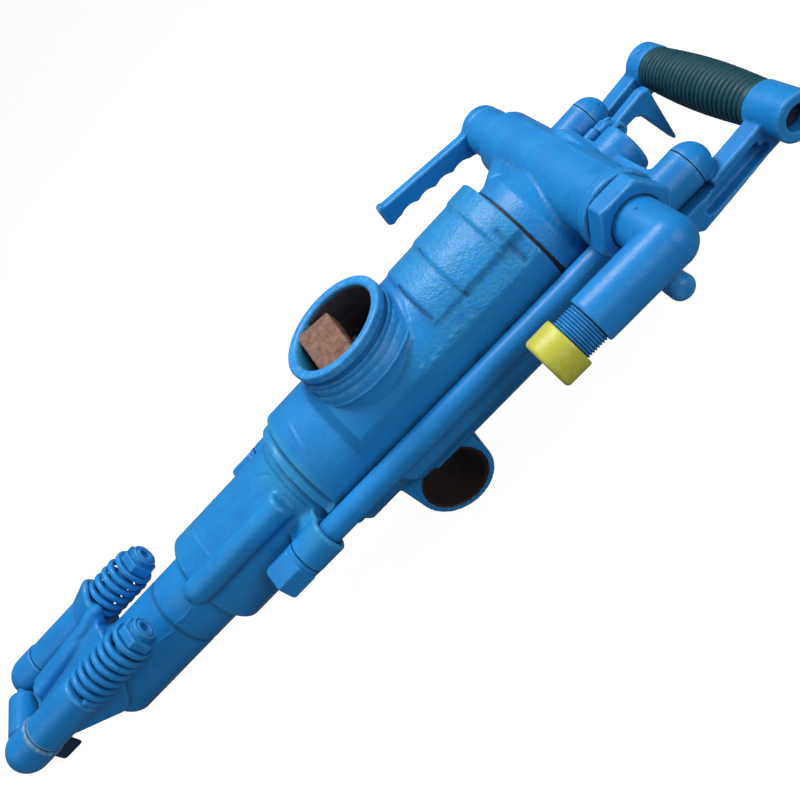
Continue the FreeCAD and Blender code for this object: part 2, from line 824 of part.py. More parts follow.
def back_head():
    front = -gasket_rear
    x = -throttle_back
    body = back_head_outside()
    body = body.cut(along_y(throttle_bore_radius, -bore_inner, spigot_end + overrun, x, throttle_height))
    body = body.cut(along_y(throttle_spindle_radius + running_gap, -throttle_far_side - overrun,
                            overrun - bore_inner, x, throttle_height))
    body = body.cut(along_x(throttle_port_radius, x, front + overrun, 0, throttle_port_height))
    body = body.cut(along_y(regulator_bore_radius, regulator_boss_side - regulator_bore_depth,
                            regulator_boss_side + overrun, -regulator_back, regulator_height))
    body = body.cut(along_x(needle_well_radius, -boss_rear - overrun, -needle_well_front))
    body = body.cut(along_x(needle_radius + screw_gap, -boss_rear, front + overrun))
    body = body.cut(along_x(plunger_radius + running_gap, -stub_rear, plunger_front + overrun, -trigger_side,
                            plunger_height))
    body = body.cut(along_x(plunger_spring_radius + free_gap, plunger_front - plunger_cap_length - free_gap,
                            plunger_front + plunger_spring_length, -trigger_side, plunger_height))
    body = body.cut(along_z(nipple_bore_radius, -boss_radius - overrun, 0, -water_back))
    body = body.cut(along_y(trigger_pin_diameter / 2 + running_gap, -bolt_spread, 0, -trigger_pivot_back,
                            trigger_pivot_height))
    return body.cut(rod_holes(bolt_hole_radius, -stub_rear - overrun, front + overrun))


def throttle_valve():
    x = -throttle_back
    z = throttle_height
    near = throttle_near_side - throttle_wall
    body = along_y(throttle_bore_radius - running_gap, free_gap - bore_inner, near, x, z)
    spindle = along_y(throttle_spindle_radius, lever_outer, free_gap - bore_inner, x, z)
    valve = joined(body, spindle)
    valve = valve.cut(along_y(throttle_bore_radius - throttle_wall, -throttle_bore, near + overrun, x, z))
    valve = valve.cut(along_x(throttle_port_radius, x, x + throttle_bore, 0, throttle_port_height))
    return valve.cut(along_y(lever_screw_shank + screw_gap, lever_outer - overrun, -throttle_far_side, x, z))


def lever_slot():
    """A curved recess in the outer face of the lever's hub."""
    depth = lever_hub_length / 3
    ring = along_y(lever_slot_outer, lever_outer - overrun, lever_outer + depth)
    ring = ring.cut(along_y(lever_slot_inner, lever_outer - overrun, lever_outer + depth))
    window = block(-lever_hub_radius, -lever_slot_inner / 2, lever_outer - overrun, lever_outer + depth,
                   -lever_hub_radius, lever_hub_radius)
    return ring.common(window)


def throttle_lever():
    near = -throttle_far_side - free_gap
    hub = along_y(lever_hub_radius, lever_outer, near)
    length = math.hypot(lever_reach, lever_rise)
    half = lever_depth / 2
    top = half - lever_top_drop
    flange_start = length - lever_flange_length
    outline = [(0, lever_hub_radius - lever_top_drop), (lever_hub_radius, half), (flange_start, top),
               (flange_start, top + lever_flange_rise), (length, top), (length, -half),
               (flange_start, -half - lever_flange_rise), (flange_start - lever_flange_length, -half),
               (lever_hub_radius, -half), (0, lever_top_drop - lever_hub_radius)]
    middle = (lever_outer + near) / 2
    blade = plate_across(outline, middle - lever_thickness / 2, middle + lever_thickness / 2)
    lever = joined(hub, blade)
    for step in range(lever_wave_count):
        lever = lever.cut(along_y(lever_wave_radius, lever_outer - overrun, near + overrun,
                                  lever_wave_start + step * lever_wave_pitch,
                                  lever_wave_bite - half - lever_wave_radius))
    lever = lever.cut(lever_slot())
    lever = lever.cut(along_y(throttle_spindle_radius + screw_gap, lever_outer - overrun, near + overrun))
    lever.rotate(CENTRE, ASIDE, -math.degrees(math.atan2(lever_rise, lever_reach)))
    lever.translate(V(-throttle_back, 0, throttle_height))
    return lever


def lever_screw():
    head_end = lever_outer - lever_screw_head
    head = along_y(lever_screw_radius, head_end, lever_outer, -throttle_back, throttle_height)
    shank = along_y(lever_screw_shank, lever_outer, -throttle_far_side - overrun, -throttle_back, throttle_height)
    socket = hexagon(lever_screw_flats, lever_screw_head / 2, V(-throttle_back, head_end, throttle_height), ASIDE)
    return joined(head, shank).cut(socket)


def swivel_nut():
    x = -throttle_back
    z = throttle_height
    body = chamfered_hexagon(swivel_flats, swivel_length, V(x, throttle_face, z), ASIDE, swivel_chamfer)
    body = body.cut(along_y(elbow_root_radius + free_gap, throttle_face - overrun,
                            throttle_face + swivel_length + overrun, x, z))
    return body.cut(along_y(swivel_spigot_radius + free_gap, throttle_face - overrun,
                            elbow_start + elbow_flange_thickness + free_gap, x, z))


def elbow_seal():
    x = -throttle_back
    z = throttle_height
    ring = along_y(swivel_spigot_radius, spigot_end, elbow_start - free_gap, x, z)
    return ring.cut(along_y(throttle_bore_radius, spigot_end - overrun, elbow_start, x, z))


def inlet_elbow():
    x = -throttle_back
    z = throttle_height
    body = joined(along_y(elbow_root_radius, elbow_start, elbow_side, x, z),
                  along_y(swivel_spigot_radius, elbow_start, elbow_start + elbow_flange_thickness, x, z),
                  ball(elbow_root_radius, x, elbow_side, z),
                  along_x(elbow_radius, x, -elbow_leg_front, elbow_side, z), threaded_end())
    body = body.cut(along_y(elbow_root_radius - elbow_wall, elbow_start - overrun, elbow_side, x, z))
    body = body.cut(ball(elbow_root_radius - elbow_wall, x, elbow_side, z))
    return body.cut(along_x(inlet_bore_radius, x, overrun - inlet_thread_front, elbow_side, z))


def threaded_end():
    """The pipe thread, as ring grooves of its pitch."""
    start = -elbow_leg_front
    root = inlet_thread_radius - inlet_thread_depth
    outline = [(start - overrun, 0), (start - overrun, root), (start, root)]
    grooves = round((elbow_leg_front - inlet_thread_front) / inlet_thread_pitch) - 1
    for step in range(grooves):
        x = start + (step + 0.5) * inlet_thread_pitch
        outline += [(x, root), (x + inlet_thread_pitch / 4, inlet_thread_radius),
                    (x + inlet_thread_pitch / 2, inlet_thread_radius)]
    outline += [(-inlet_thread_front, root), (-inlet_thread_front, 0)]
    return turned(outline, elbow_side, throttle_height)


def inlet_screen():
    front = -elbow_leg_front
    rear = front - screen_length
    tube = along_x(screen_radius, rear, front, elbow_side, throttle_height)
    return tube.cut(along_x(screen_radius - screen_wall, rear + screen_wall, front + overrun, elbow_side,
                            throttle_height))


def thread_cap():
    body = turned([(-cap_rear, 0), (-cap_rear, cap_radius), (-cap_front - cap_edge, cap_radius),
                   (-cap_front, cap_radius - cap_edge), (-cap_front, 0)], elbow_side, throttle_height)
    room = along_x(inlet_thread_radius + screw_gap, -cap_rear - overrun, free_gap - inlet_thread_front,
                   elbow_side, throttle_height)
    return body.cut(room)


def handle_arm(side):
    under = -stub_radius - stub_room
    top_rear = arm_top + arm_rise
    step = -foot_front - foot_step
    outline = [(step, arm_top), (-handle_back, top_rear), (-handle_back, top_rear - arm_depth),
               (-arm_foot_front - arm_foot_drop, arm_top - arm_depth - arm_foot_drop),
               (-arm_foot_front, arm_top - arm_depth), (-arm_foot_front, under), (step, under)]
    inner = side * arm_inner
    outer = side * (arm_inner + arm_thickness)
    arm = plate_across(outline, min(inner, outer), max(inner, outer))
    dome_start = -foot_front - foot_length
    dome = ball(stub_radius, dome_start, side * bolt_spread, 0).common(
        block(dome_start - stub_radius, dome_start, -handle_back, handle_back, -stub_radius, stub_radius))
    foot = joined(along_x(stub_radius, dome_start, -foot_front, side * bolt_spread), dome)
    hub_outer = hub_near_outer if side > 0 else hub_far_outer
    hub_low = min(side * hub_inner, side * hub_outer)
    hub_high = max(side * hub_inner, side * hub_outer)
    hub = along_y(hub_radius, hub_low, hub_high, -handle_back, handle_height)
    body = joined(arm, foot, hub)
    floor = outer - side * arm_slot_depth
    slot = plate_across([(-arm_slot_front, arm_slot_height + arm_slot_width / 2),
                         (-arm_slot_rear, arm_slot_height + arm_slot_width / 2 + arm_rise),
                         (-arm_slot_rear, arm_slot_height - arm_slot_width / 2 + arm_rise),
                         (-arm_slot_front, arm_slot_height - arm_slot_width / 2)],
                        min(floor, outer + side), max(floor, outer + side))
    body = body.cut(slot)
    body = body.cut(along_y(hub_bore_radius, hub_low - overrun, hub_high + overrun, -handle_back, handle_height))
    thread_end = -foot_front - foot_thread_depth
    return body.cut(along_x(bolt_radius + screw_gap, thread_end, overrun - foot_front, side * bolt_spread))


def foot_gaskets():
    rings = []
    for side in SIDES:
        ring = along_x(stub_radius, -foot_front, -stub_rear, side * bolt_spread)
        rings.append(ring.cut(along_x(bolt_hole_radius, -foot_front - overrun, overrun - stub_rear,
                                      side * bolt_spread)))
    return rings


def grip():
    pitch = grip_half_length * 2 / grip_rib_count
    outline = [(-grip_half_length, hub_bore_radius)]
    for rib in range(grip_rib_count):
        start = -grip_half_length + rib * pitch
        swell = grip_bulge * math.sin(math.pi * (rib + 0.5) / grip_rib_count)
        groove = pitch * (1 - grip_rib_share) / 2
        high = grip_radius + swell
        outline += [(start, high - grip_rib_depth), (start + groove, high), (start + pitch - groove, high)]
    outline += [(grip_half_length, grip_radius - grip_rib_depth), (grip_half_length, hub_bore_radius)]
    corners = [V(-handle_back + r, y, handle_height) for y, r in outline]
    face = Part.Face(Part.makePolygon(corners + corners[:1]))
    return face.revolve(V(-handle_back, 0, handle_height), ASIDE, 360)


def grip_rod():
    return along_y(hub_bore_radius - screw_gap, hub_recess - hub_far_outer, hub_near_outer - hub_recess,
                   -handle_back, handle_height)


def side_bolt(side):
    y = side * bolt_spread
    head_rear = front_lug_front + bolt_washer_thickness
    head = chamfered_hexagon(bolt_head_flats, bolt_head_length, V(head_rear, y, 0), AHEAD, bolt_head_chamfer)
    shank = along_x(bolt_radius, -foot_front - foot_thread_depth + free_gap, head_rear, y)
    return joined(shank, head)


def side_bolt_washers():
    rings = []
    for side in SIDES:
        ring = along_x(bolt_washer_radius, front_lug_front, front_lug_front + bolt_washer_thickness,
                       side * bolt_spread)
        rings.append(ring.cut(along_x(bolt_radius + screw_gap, front_lug_front - overrun,
                                      front_lug_front + bolt_washer_thickness + overrun, side * bolt_spread)))
    return rings


def retainer_bolt(side):
    y, z, tube_rear, spring_rear, turns = RETAINER_SIDES[side]
    bolt_end = spring_rear - seat_thickness - retainer_nut_length - retainer_end_length
    head_rear = tube_front + retainer_seam
    dome = retainer_head_front - retainer_head_radius
    radius = retainer_bolt_diameter / 2
    body = joined(along_x(radius, bolt_end, dome, y, z), along_x(retainer_head_radius, head_rear, dome, y, z),
                  ball(retainer_head_radius, dome, y, z).common(
                      block(dome, retainer_head_front, -bolt_spread, bolt_spread, 0, casting_radius)))
    socket = hexagon(retainer_socket_flats, retainer_socket_depth, V(bolt_end, y, z), AHEAD)
    pin_hole = along_y(fork_pin_diameter / 2 + running_gap, -fork_pin_reach - free_gap,
                       fork_pin_reach + free_gap, fork_pin_ahead, fork_pin_height)
    return body.cut(socket).cut(pin_hole)


def retainer_nuts():
    nuts = []
    for side in SIDES:
        y, z, tube_rear, spring_rear, turns = RETAINER_SIDES[side]
        seat_rear = spring_rear - seat_thickness
        nut_rear = seat_rear - retainer_nut_length
        bolt_end = nut_rear - retainer_end_length
        nut = chamfered_hexagon(retainer_nut_flats, retainer_nut_length, V(nut_rear, y, z), AHEAD,
                                retainer_nut_chamfer)
        collar = along_x(retainer_end_radius, bolt_end + free_gap, nut_rear, y, z)
        hole = along_x(retainer_bolt_diameter / 2 + screw_gap, bolt_end - overrun, seat_rear + overrun, y, z)
        nuts.append(joined(nut, collar).cut(hole))
    return nuts


def spring_seats():
    seats = []
    for side in SIDES:
        y, z, tube_rear, spring_rear, turns = RETAINER_SIDES[side]
        seat = along_x(seat_radius, spring_rear - seat_thickness, spring_rear, y, z)
        hole = along_x(retainer_bolt_diameter / 2 + screw_gap, spring_rear - seat_thickness - overrun,
                       spring_rear + overrun, y, z)
        seats.append(seat.cut(hole))
    return seats


def helix_point(turn, x_start, pitch, y, z):
    angle = 2 * math.pi * turn
    return V(x_start + pitch * turn, y + spring_radius * math.cos(angle), z + spring_radius * math.sin(angle))


def helix_tangent(turn, pitch):
    angle = 2 * math.pi * turn
    slope = 2 * math.pi * spring_radius
    return V(pitch, -slope * math.sin(angle), slope * math.cos(angle)).normalize()


def arc_from(start, tangent, end):
    """An arc through two points with a given direction at the first."""
    chord = end - start
    inward = chord - tangent * chord.dot(tangent)
    inward.normalize()
    radius = chord.dot(chord) / (2 * chord.dot(inward))
    centre = start + inward * radius
    middle = (start + end) * 0.5 - centre
    middle.normalize()
    return Part.Arc(start, centre + middle * radius, end).toShape(), radius


def biarc(start, start_tangent, end, end_tangent):
    """Two arcs that meet smoothly and leave along both tangents."""
    chord = end - start
    both = start_tangent + end_tangent
    spread = 2 * (1 - start_tangent.dot(end_tangent))
    along = chord.dot(both)
    reach = (math.sqrt(along * along + spread * chord.dot(chord)) - along) / spread
    joint = (start + end + (start_tangent - end_tangent) * reach) * 0.5
    first, first_radius = arc_from(start, start_tangent, joint)
    second, second_radius = arc_from(end, end_tangent * -1, joint)
    return [first, second], min(first_radius, second_radius)


def least_turn_gap(turns, x_start, pitch, y, z):
    """The least distance between the wire and its own next turn, on points."""
    samples = spring_samples
    points = []
    for index in range(round(turns * samples) + 1):
        points.append(helix_point(index / samples, x_start, pitch, y, z))
    least = spring_radius
    for first in range(len(points)):
        for second in range(first + samples // 2, len(points)):
            least = min(least, (points[second] - points[first]).Length - spring_wire)
    return least


def retainer_spring(side):
    y, z, tube_rear, spring_rear, turns = RETAINER_SIDES[side]
    x_start = spring_rear + spring_seat_gap + spring_wire / 2
    x_end = tube_rear - spring_seat_gap - spring_wire / 2
    pitch = (x_end - x_start) / turns
    spans = round(turns * 2)
    edges = []
    tightest = spring_radius
    for span in range(spans):
        start = span / 2
        end = (span + 1) / 2
        pair, radius = biarc(helix_point(start, x_start, pitch, y, z), helix_tangent(start, pitch),
                             helix_point(end, x_start, pitch, y, z), helix_tangent(end, pitch))
        edges += pair
        tightest = min(tightest, radius)
    path = Part.Wire(Part.__sortEdges__(edges))
    profile = Part.Wire(Part.Circle(helix_point(0, x_start, pitch, y, z), helix_tangent(0, pitch),
                                    spring_wire / 2).toShape())
    print("spring: least gap between turns", round(least_turn_gap(turns, x_start, pitch, y, z), 2),
          "tightest arc", round(tightest, 2))
    return path.makePipeShell([profile], True, False)


def retainer_pin():
    return along_y(fork_pin_diameter / 2, -fork_pin_reach, fork_pin_reach, fork_pin_ahead, fork_pin_height)


def retainer_fork():
    x_from = fork_pin_ahead - fork_setback
    x_to = x_from + fork_thickness
    hub = along_y(fork_hub_radius, -fork_hub_half_length, fork_hub_half_length, fork_pin_ahead, fork_pin_height)
    half = fork_half_width
    corner = fork_corner
    plate = bar_ahead([(-half, fork_pin_height), (-half, corner - fork_low), (corner - half, -fork_low),
                       (half - corner, -fork_low), (half, corner - fork_low), (half, fork_pin_height)], x_from, x_to)
    slot = joined(along_x(fork_slot / 2, x_from - overrun, x_to + overrun),
                  block(x_from - overrun, x_to + overrun, -fork_slot / 2, fork_slot / 2, -fork_low - overrun, 0))
    fork = joined(hub, plate).cut(slot)
    return fork.cut(along_y(fork_pin_diameter / 2 + running_gap, -fork_half_width - overrun,
                            fork_half_width + overrun, fork_pin_ahead, fork_pin_height))


def trigger():
    x = -trigger_pivot_back
    z = trigger_pivot_height
    half = trigger_arm_depth / 2
    back = x - trigger_arm_reach
    blade = trigger_blade_thickness
    outline = [(x + trigger_heel, z - half), (x + trigger_heel, z + trigger_heel_height),
               (x + half / 2, z + trigger_heel_height), (x - half / 2, z + half),
               (back + half, z + trigger_arm_depth - trigger_nub_radius), (back - trigger_nub_radius / 2, z + half),
               (back, z - half), (back + trigger_tip_thickness, z - trigger_blade_drop),
               (back + trigger_tip_thickness * 2, z - trigger_blade_drop),
               (back + blade, z - trigger_arm_depth), (back + blade + half, z - half)]
    low = -trigger_side - trigger_thickness / 2
    body = plate_across(outline, low, low + trigger_thickness)
    return body.cut(along_y(trigger_pin_diameter / 2 + running_gap, low - overrun, low + trigger_thickness + overrun,
                            x, z))


def trigger_pin():
    reach = trigger_thickness / 2 + free_gap + trigger_ear_thickness
    return along_y(trigger_pin_diameter / 2, -trigger_side - reach, reach - trigger_side, -trigger_pivot_back,
                   trigger_pivot_height)


def retract_valve():
    stem = along_x(plunger_radius, plunger_rear, plunger_front, -trigger_side, plunger_height)
    cap = along_x(plunger_spring_radius, plunger_front - plunger_cap_length, plunger_front, -trigger_side,
                  plunger_height)
    return joined(stem, cap)


def trigger_spring():
    front = plunger_front + plunger_spring_length
    tube = along_x(plunger_spring_radius - free_gap, plunger_front + plunger_travel_room, front, -trigger_side, plunger_height)
    return tube.cut(along_x(plunger_radius, plunger_front, front + overrun, -trigger_side, plunger_height))


def regulator_valve():
    x = -regulator_back
    z = regulator_height
    inner = regulator_boss_side - regulator_bore_depth + free_gap
    outer = regulator_boss_side - regulator_thread_length - free_gap
    return joined(along_y(regulator_bore_radius - running_gap, inner, outer, x, z),
                  along_y(regulator_stem_radius, outer, regulator_knob_side - regulator_stem_radius, x, z))


def regulator_gland():
    x = -regulator_back
    z = regulator_height
    inner = regulator_boss_side - regulator_thread_length
    outer = regulator_boss_side + regulator_gland_length
    body = joined(along_y(regulator_bore_radius - running_gap, inner, regulator_boss_side, x, z),
                  hexagon(regulator_gland_flats, regulator_gland_length, V(x, regulator_boss_side, z), ASIDE))
    return body.cut(along_y(regulator_stem_radius + running_gap, inner - overrun, outer + overrun, x, z))


def regulator_knob():
    x = -regulator_back
    z = regulator_height
    knob = ball(regulator_knob_radius, x, regulator_knob_side, z)
    return knob.cut(along_y(regulator_stem_radius, regulator_boss_side, regulator_knob_side - regulator_stem_radius
                            + screw_gap, x, z))


def water_needle():
    tube = along_x(needle_radius, -needle_rear, needle_front)
    return tube.cut(along_x(needle_radius / 2, -needle_rear - overrun, needle_front + overrun))


def needle_packing():
    ring = along_x(needle_well_radius - running_gap, -packing_rear, -needle_well_front)
    return ring.cut(along_x(needle_radius + running_gap, -packing_rear - overrun, overrun - needle_well_front))


def water_gland():
    plug = along_x(needle_well_radius - running_gap, -boss_rear, gland_thread_length - boss_rear)
    return plug.cut(hexagon(gland_flats, gland_socket_depth, V(-boss_rear, 0, 0), AHEAD))


def water_nipple():
    top = -boss_radius - running_gap
    low = top - nipple_length
    body = joined(along_z(nipple_radius, low, top - nipple_nut_length / 2, -water_back),
                  hexagon(nipple_flats, nipple_nut_length, V(-water_back, 0, top - nipple_nut_length), UPWARD))
    barbs = []
    for step in range(nipple_barb_count):
        base = low + step * nipple_barb_length
        barbs.append(Part.makeCone(nipple_radius, nipple_radius + nipple_barb_rise, nipple_barb_length,
                                   V(-water_back, 0, base), UPWARD))
    body = joined(body, *barbs)
    return body.cut(along_z(nipple_bore_radius, low - overrun, top + overrun, -water_back))


save("cylinder", cylinder())
save("cylinder_liner", cylinder_liner())
save("leg_bush", leg_bush())
save("front_head", front_head())
save("guide_bush", guide_bush())
save("chuck_sleeve", chuck_sleeve())
save("rotation_nut", rotation_nut())
save("chuck_bush", chuck_bush())
save("piston", piston())
save("rifle_nut", rifle_nut())
save("rifle_bar", rifle_bar())
save("pawls", *pawls())
save("ratchet_ring", ratchet_ring())
save("valve_cover", valve_cover())
save("valve_chest", valve_chest())
save("valve_ring", valve_ring())
save("head_gasket", head_gasket())
save("back_head", back_head())
save("throttle_valve", throttle_valve())
save("throttle_lever", throttle_lever())
save("lever_screw", lever_screw())
save("swivel_nut", swivel_nut())
save("elbow_seal", elbow_seal())
save("inlet_elbow", inlet_elbow())
save("inlet_screen", inlet_screen())
save("thread_cap", thread_cap())
save("foot_gaskets", *foot_gaskets())
save("grip", grip())
save("grip_rod", grip_rod())
save("side_bolt_washers", *side_bolt_washers())
for word, side in (("left", 1), ("right", -1)):
    save("handle_" + word, handle_arm(side))
    save("side_bolt_" + word, side_bolt(side))
    save("retainer_bolt_" + word, retainer_bolt(side))
    save("retainer_spring_" + word, retainer_spring(side))
save("retainer_nuts", *retainer_nuts())
save("spring_seats", *spring_seats())
save("retainer_pin", retainer_pin())
save("retainer_fork", retainer_fork())
save("trigger", trigger())
save("trigger_pin", trigger_pin())
save("retract_valve", retract_valve())
save("trigger_spring", trigger_spring())
save("regulator_valve", regulator_valve())
save("regulator_gland", regulator_gland())
save("regulator_knob", regulator_knob())
save("water_needle", water_needle())
save("needle_packing", needle_packing())
save("water_gland", water_gland())
save("water_nipple", water_nipple())
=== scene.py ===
import json
import math

import bmesh
import bpy
import numpy as np
from mathutils import Matrix, Vector, noise


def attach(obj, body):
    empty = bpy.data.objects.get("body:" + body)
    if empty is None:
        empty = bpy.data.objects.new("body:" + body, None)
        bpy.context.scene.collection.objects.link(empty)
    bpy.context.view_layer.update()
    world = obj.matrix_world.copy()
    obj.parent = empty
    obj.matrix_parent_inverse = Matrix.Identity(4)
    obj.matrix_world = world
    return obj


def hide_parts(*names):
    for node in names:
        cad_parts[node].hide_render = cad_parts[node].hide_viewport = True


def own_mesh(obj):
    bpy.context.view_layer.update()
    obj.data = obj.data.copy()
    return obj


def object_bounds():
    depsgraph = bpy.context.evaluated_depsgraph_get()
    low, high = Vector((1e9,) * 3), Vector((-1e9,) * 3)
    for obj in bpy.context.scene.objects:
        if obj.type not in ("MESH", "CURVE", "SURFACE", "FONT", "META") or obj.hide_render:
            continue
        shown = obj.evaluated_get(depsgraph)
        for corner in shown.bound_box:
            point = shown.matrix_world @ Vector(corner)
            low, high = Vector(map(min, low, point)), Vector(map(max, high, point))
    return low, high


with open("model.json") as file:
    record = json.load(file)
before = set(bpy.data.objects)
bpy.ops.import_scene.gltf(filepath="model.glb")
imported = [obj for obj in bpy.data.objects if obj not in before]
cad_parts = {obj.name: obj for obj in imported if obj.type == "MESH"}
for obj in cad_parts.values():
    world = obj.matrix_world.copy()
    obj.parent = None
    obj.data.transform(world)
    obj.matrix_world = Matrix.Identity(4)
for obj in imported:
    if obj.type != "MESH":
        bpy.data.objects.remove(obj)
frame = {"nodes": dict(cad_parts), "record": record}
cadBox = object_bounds()
millimetre = 0.001
legShift = Vector((-0.025, 0.0, 0.070))  # from the drill axis under the exhaust neck to the leg bore
ahead = Vector((1, 0, 0))
aside = Vector((0, 1, 0))
upward = Vector((0, 0, 1))
print("frame loaded:", len(frame["nodes"]), "nodes")


def atDrill(x, y, z):
    # a place given in millimetres from the drill axis under the exhaust neck
    return Vector((x, y, z)) * millimetre + legShift


# camera, lamps and floor
cameraSettings = {
    "place": (-0.104294, 0.470605, 0.407411),
    "right": (-0.68498, 0.34231, -0.64313),
    "up": (-0.71248, -0.49914, 0.49317),
    "back": (-0.15219, 0.79604, 0.58579),
    "lens": 39.633,
    "sensor": 36.0,
}

lightSettings = {
    "world": 0.16,
    "key": {"place": (-0.26, -0.40, 1.28), "size": 0.55, "power": 18.0},
    "side": {"place": (-0.7, 1.0, 0.7), "size": 0.7, "power": 7.0},
    "rim": {"place": (0.7, 0.5, 1.0), "size": 0.8, "power": 3.0},
}

floorSettings = {
    "size": 24.0, "gap": 0.0006, "seen": (0.83, 0.84, 0.85, 1.0), "bounced": (0.20, 0.21, 0.22, 1.0),
    "cameraShare": 0.84, "glow": 1.14,
}


def makeCamera(settings):
    data = bpy.data.cameras.new("viewCamera")
    data.lens = settings["lens"]
    data.sensor_width = settings["sensor"]
    data.clip_start = 0.01
    camera = bpy.data.objects.new("viewCamera", data)
    axes = [Vector(settings[key]).normalized() for key in ("right", "up", "back")]
    turn = Matrix((axes[0], axes[1], axes[2])).transposed().to_4x4()
    camera.matrix_world = Matrix.Translation(settings["place"]) @ turn
    bpy.context.scene.collection.objects.link(camera)
    bpy.context.scene.camera = camera


def makeLamp(name, settings, target):
    data = bpy.data.lights.new(name, "AREA")
    data.size = settings["size"]
    data.energy = settings["power"]
    lamp = bpy.data.objects.new(name, data)
    place = Vector(settings["place"])
    lamp.location = place
    lamp.rotation_euler = (place - target).to_track_quat("Z", "Y").to_euler()
    bpy.context.scene.collection.objects.link(lamp)


def makeWorld(strength):
    world = bpy.data.worlds.new("studio")
    bpy.context.scene.world = world
    world.use_nodes = True
    tree = world.node_tree
    tree.nodes.clear()
    out = tree.nodes.new("ShaderNodeOutputWorld")
    light = tree.nodes.new("ShaderNodeBackground")
    light.inputs["Color"].default_value = (0.95, 0.97, 1.0, 1.0)
    light.inputs["Strength"].default_value = strength
    seen = tree.nodes.new("ShaderNodeBackground")
    seen.inputs["Color"].default_value = (1.0, 1.0, 1.0, 1.0)
    mix = tree.nodes.new("ShaderNodeMixShader")
    path = tree.nodes.new("ShaderNodeLightPath")
    tree.links.new(path.outputs["Is Camera Ray"], mix.inputs["Fac"])
    tree.links.new(light.outputs[0], mix.inputs[1])
    tree.links.new(seen.outputs[0], mix.inputs[2])
    tree.links.new(mix.outputs[0], out.inputs["Surface"])


def addNode(tree, kind, links=(), **values):
    node = tree.nodes.new(kind)
    for key, value in values.items():
        setattr(node, key, value)
    for place, source in links:
        if isinstance(source, bpy.types.NodeSocket):
            tree.links.new(source, node.inputs[place])
        else:
            node.inputs[place].default_value = source
    return node


def addMath(tree, operation, first, second, clamp=False):
    node = addNode(tree, "ShaderNodeMath", [(0, first), (1, second)], operation=operation, use_clamp=clamp)
    return node.outputs[0]


def addMix(tree, factor, first, second):
    # inputs 6 and 7 and output 2 are the mix node's colour sockets
    return addNode(tree, "ShaderNodeMix", [(0, factor), (6, first), (7, second)], data_type="RGBA").outputs[2]


def makeFloor(settings, low):
    half = settings["size"] / 2
    height = low - settings["gap"]
    mesh = bpy.data.meshes.new("floor")
    corners = [(-half, -half, height), (half, -half, height), (half, half, height), (-half, half, height)]
    mesh.from_pydata(corners, [], [(0, 1, 2, 3)])
    floor = bpy.data.objects.new("floor", mesh)
    bpy.context.scene.collection.objects.link(floor)
    material = bpy.data.materials.new("paleFloor")
    material.use_nodes = True
    tree = material.node_tree
    tree.nodes.clear()
    seen = addNode(tree, "ShaderNodeLightPath").outputs["Is Camera Ray"]
    dye = addMix(tree, seen, settings["bounced"], settings["seen"])
    cloth = addNode(tree, "ShaderNodeBsdfDiffuse", [("Color", dye)])
    glow = addNode(tree, "ShaderNodeEmission", [("Strength", settings["glow"])])
    share = addMath(tree, "MULTIPLY", seen, settings["cameraShare"])
    mix = addNode(tree, "ShaderNodeMixShader", [("Fac", share), (1, cloth.outputs[0]), (2, glow.outputs[0])])
    addNode(tree, "ShaderNodeOutputMaterial", [("Surface", mix.outputs[0])])
    mesh.materials.append(material)


makeCamera(cameraSettings)
makeWorld(lightSettings["world"])
for lampName in ("key", "side", "rim"):
    makeLamp(lampName, lightSettings[lampName], Vector((0.03, 0.0, 0.07)))
makeFloor(floorSettings, cadBox[0][2])
bpy.context.scene.view_settings.view_transform = "Standard"
print("camera, lamps and floor are set")


# shader node groups
def addSockets(group, inputs, outputs):
    for name, value in inputs:
        socket = group.interface.new_socket(name=name, in_out="INPUT", socket_type="NodeSocketFloat")
        socket.default_value = value
    for name in outputs:
        group.interface.new_socket(name=name, in_out="OUTPUT", socket_type="NodeSocketFloat")
    return group.nodes.new("NodeGroupInput"), group.nodes.new("NodeGroupOutput")


def addRange(tree, value, low, high, outLow=0.0, outHigh=1.0):
    node = addNode(tree, "ShaderNodeMapRange", [(0, value), (1, low), (2, high), (3, outLow), (4, outHigh)])
    return node.outputs[0]


def addNoise(tree, place, scale, detail, roughness=0.6):
    node = addNode(tree, "ShaderNodeTexNoise", [("Vector", place), ("Scale", scale), ("Detail", detail),
                                                ("Roughness", roughness)])
    return node.outputs["Fac"]


def readAttribute(tree, name):
    return addNode(tree, "ShaderNodeAttribute", attribute_name=name).outputs["Fac"]


def makeCastGroup():
    # sand-cast skin: broad mottling, and a grain whose strength follows the vertex value named rough
    group = bpy.data.node_groups.new("castSkin", "ShaderNodeTree")
    given, out = addSockets(group, [("Grain Scale", 620.0), ("Mottle Scale", 38.0)],
                            ["Mottle", "Blotch", "Grain", "Peel"])
    place = addNode(group, "ShaderNodeTexCoord").outputs["Object"]
    mottle = addNoise(group, place, given.outputs["Mottle Scale"], 5.0)
    blotch = addNoise(group, place, 190.0, 4.0, 0.65)
    grain = addNoise(group, place, given.outputs["Grain Scale"], 3.0, 0.55)
    pits = addNode(group, "ShaderNodeTexVoronoi", [("Vector", place), ("Scale", 420.0)])
    deep = addRange(group, pits.outputs["Distance"], 0.0, 0.5)
    strength = addRange(group, readAttribute(group, "rough"), 0.0, 1.0, 0.12, 1.1)
    both = addMath(group, "MULTIPLY", grain, deep)
    group.links.new(addRange(group, mottle, 0.3, 0.7), out.inputs["Mottle"])
    group.links.new(addRange(group, blotch, 0.35, 0.7), out.inputs["Blotch"])
    group.links.new(addMath(group, "MULTIPLY", both, strength), out.inputs["Grain"])
    group.links.new(addNoise(group, place, 900.0, 1.0), out.inputs["Peel"])
    return group


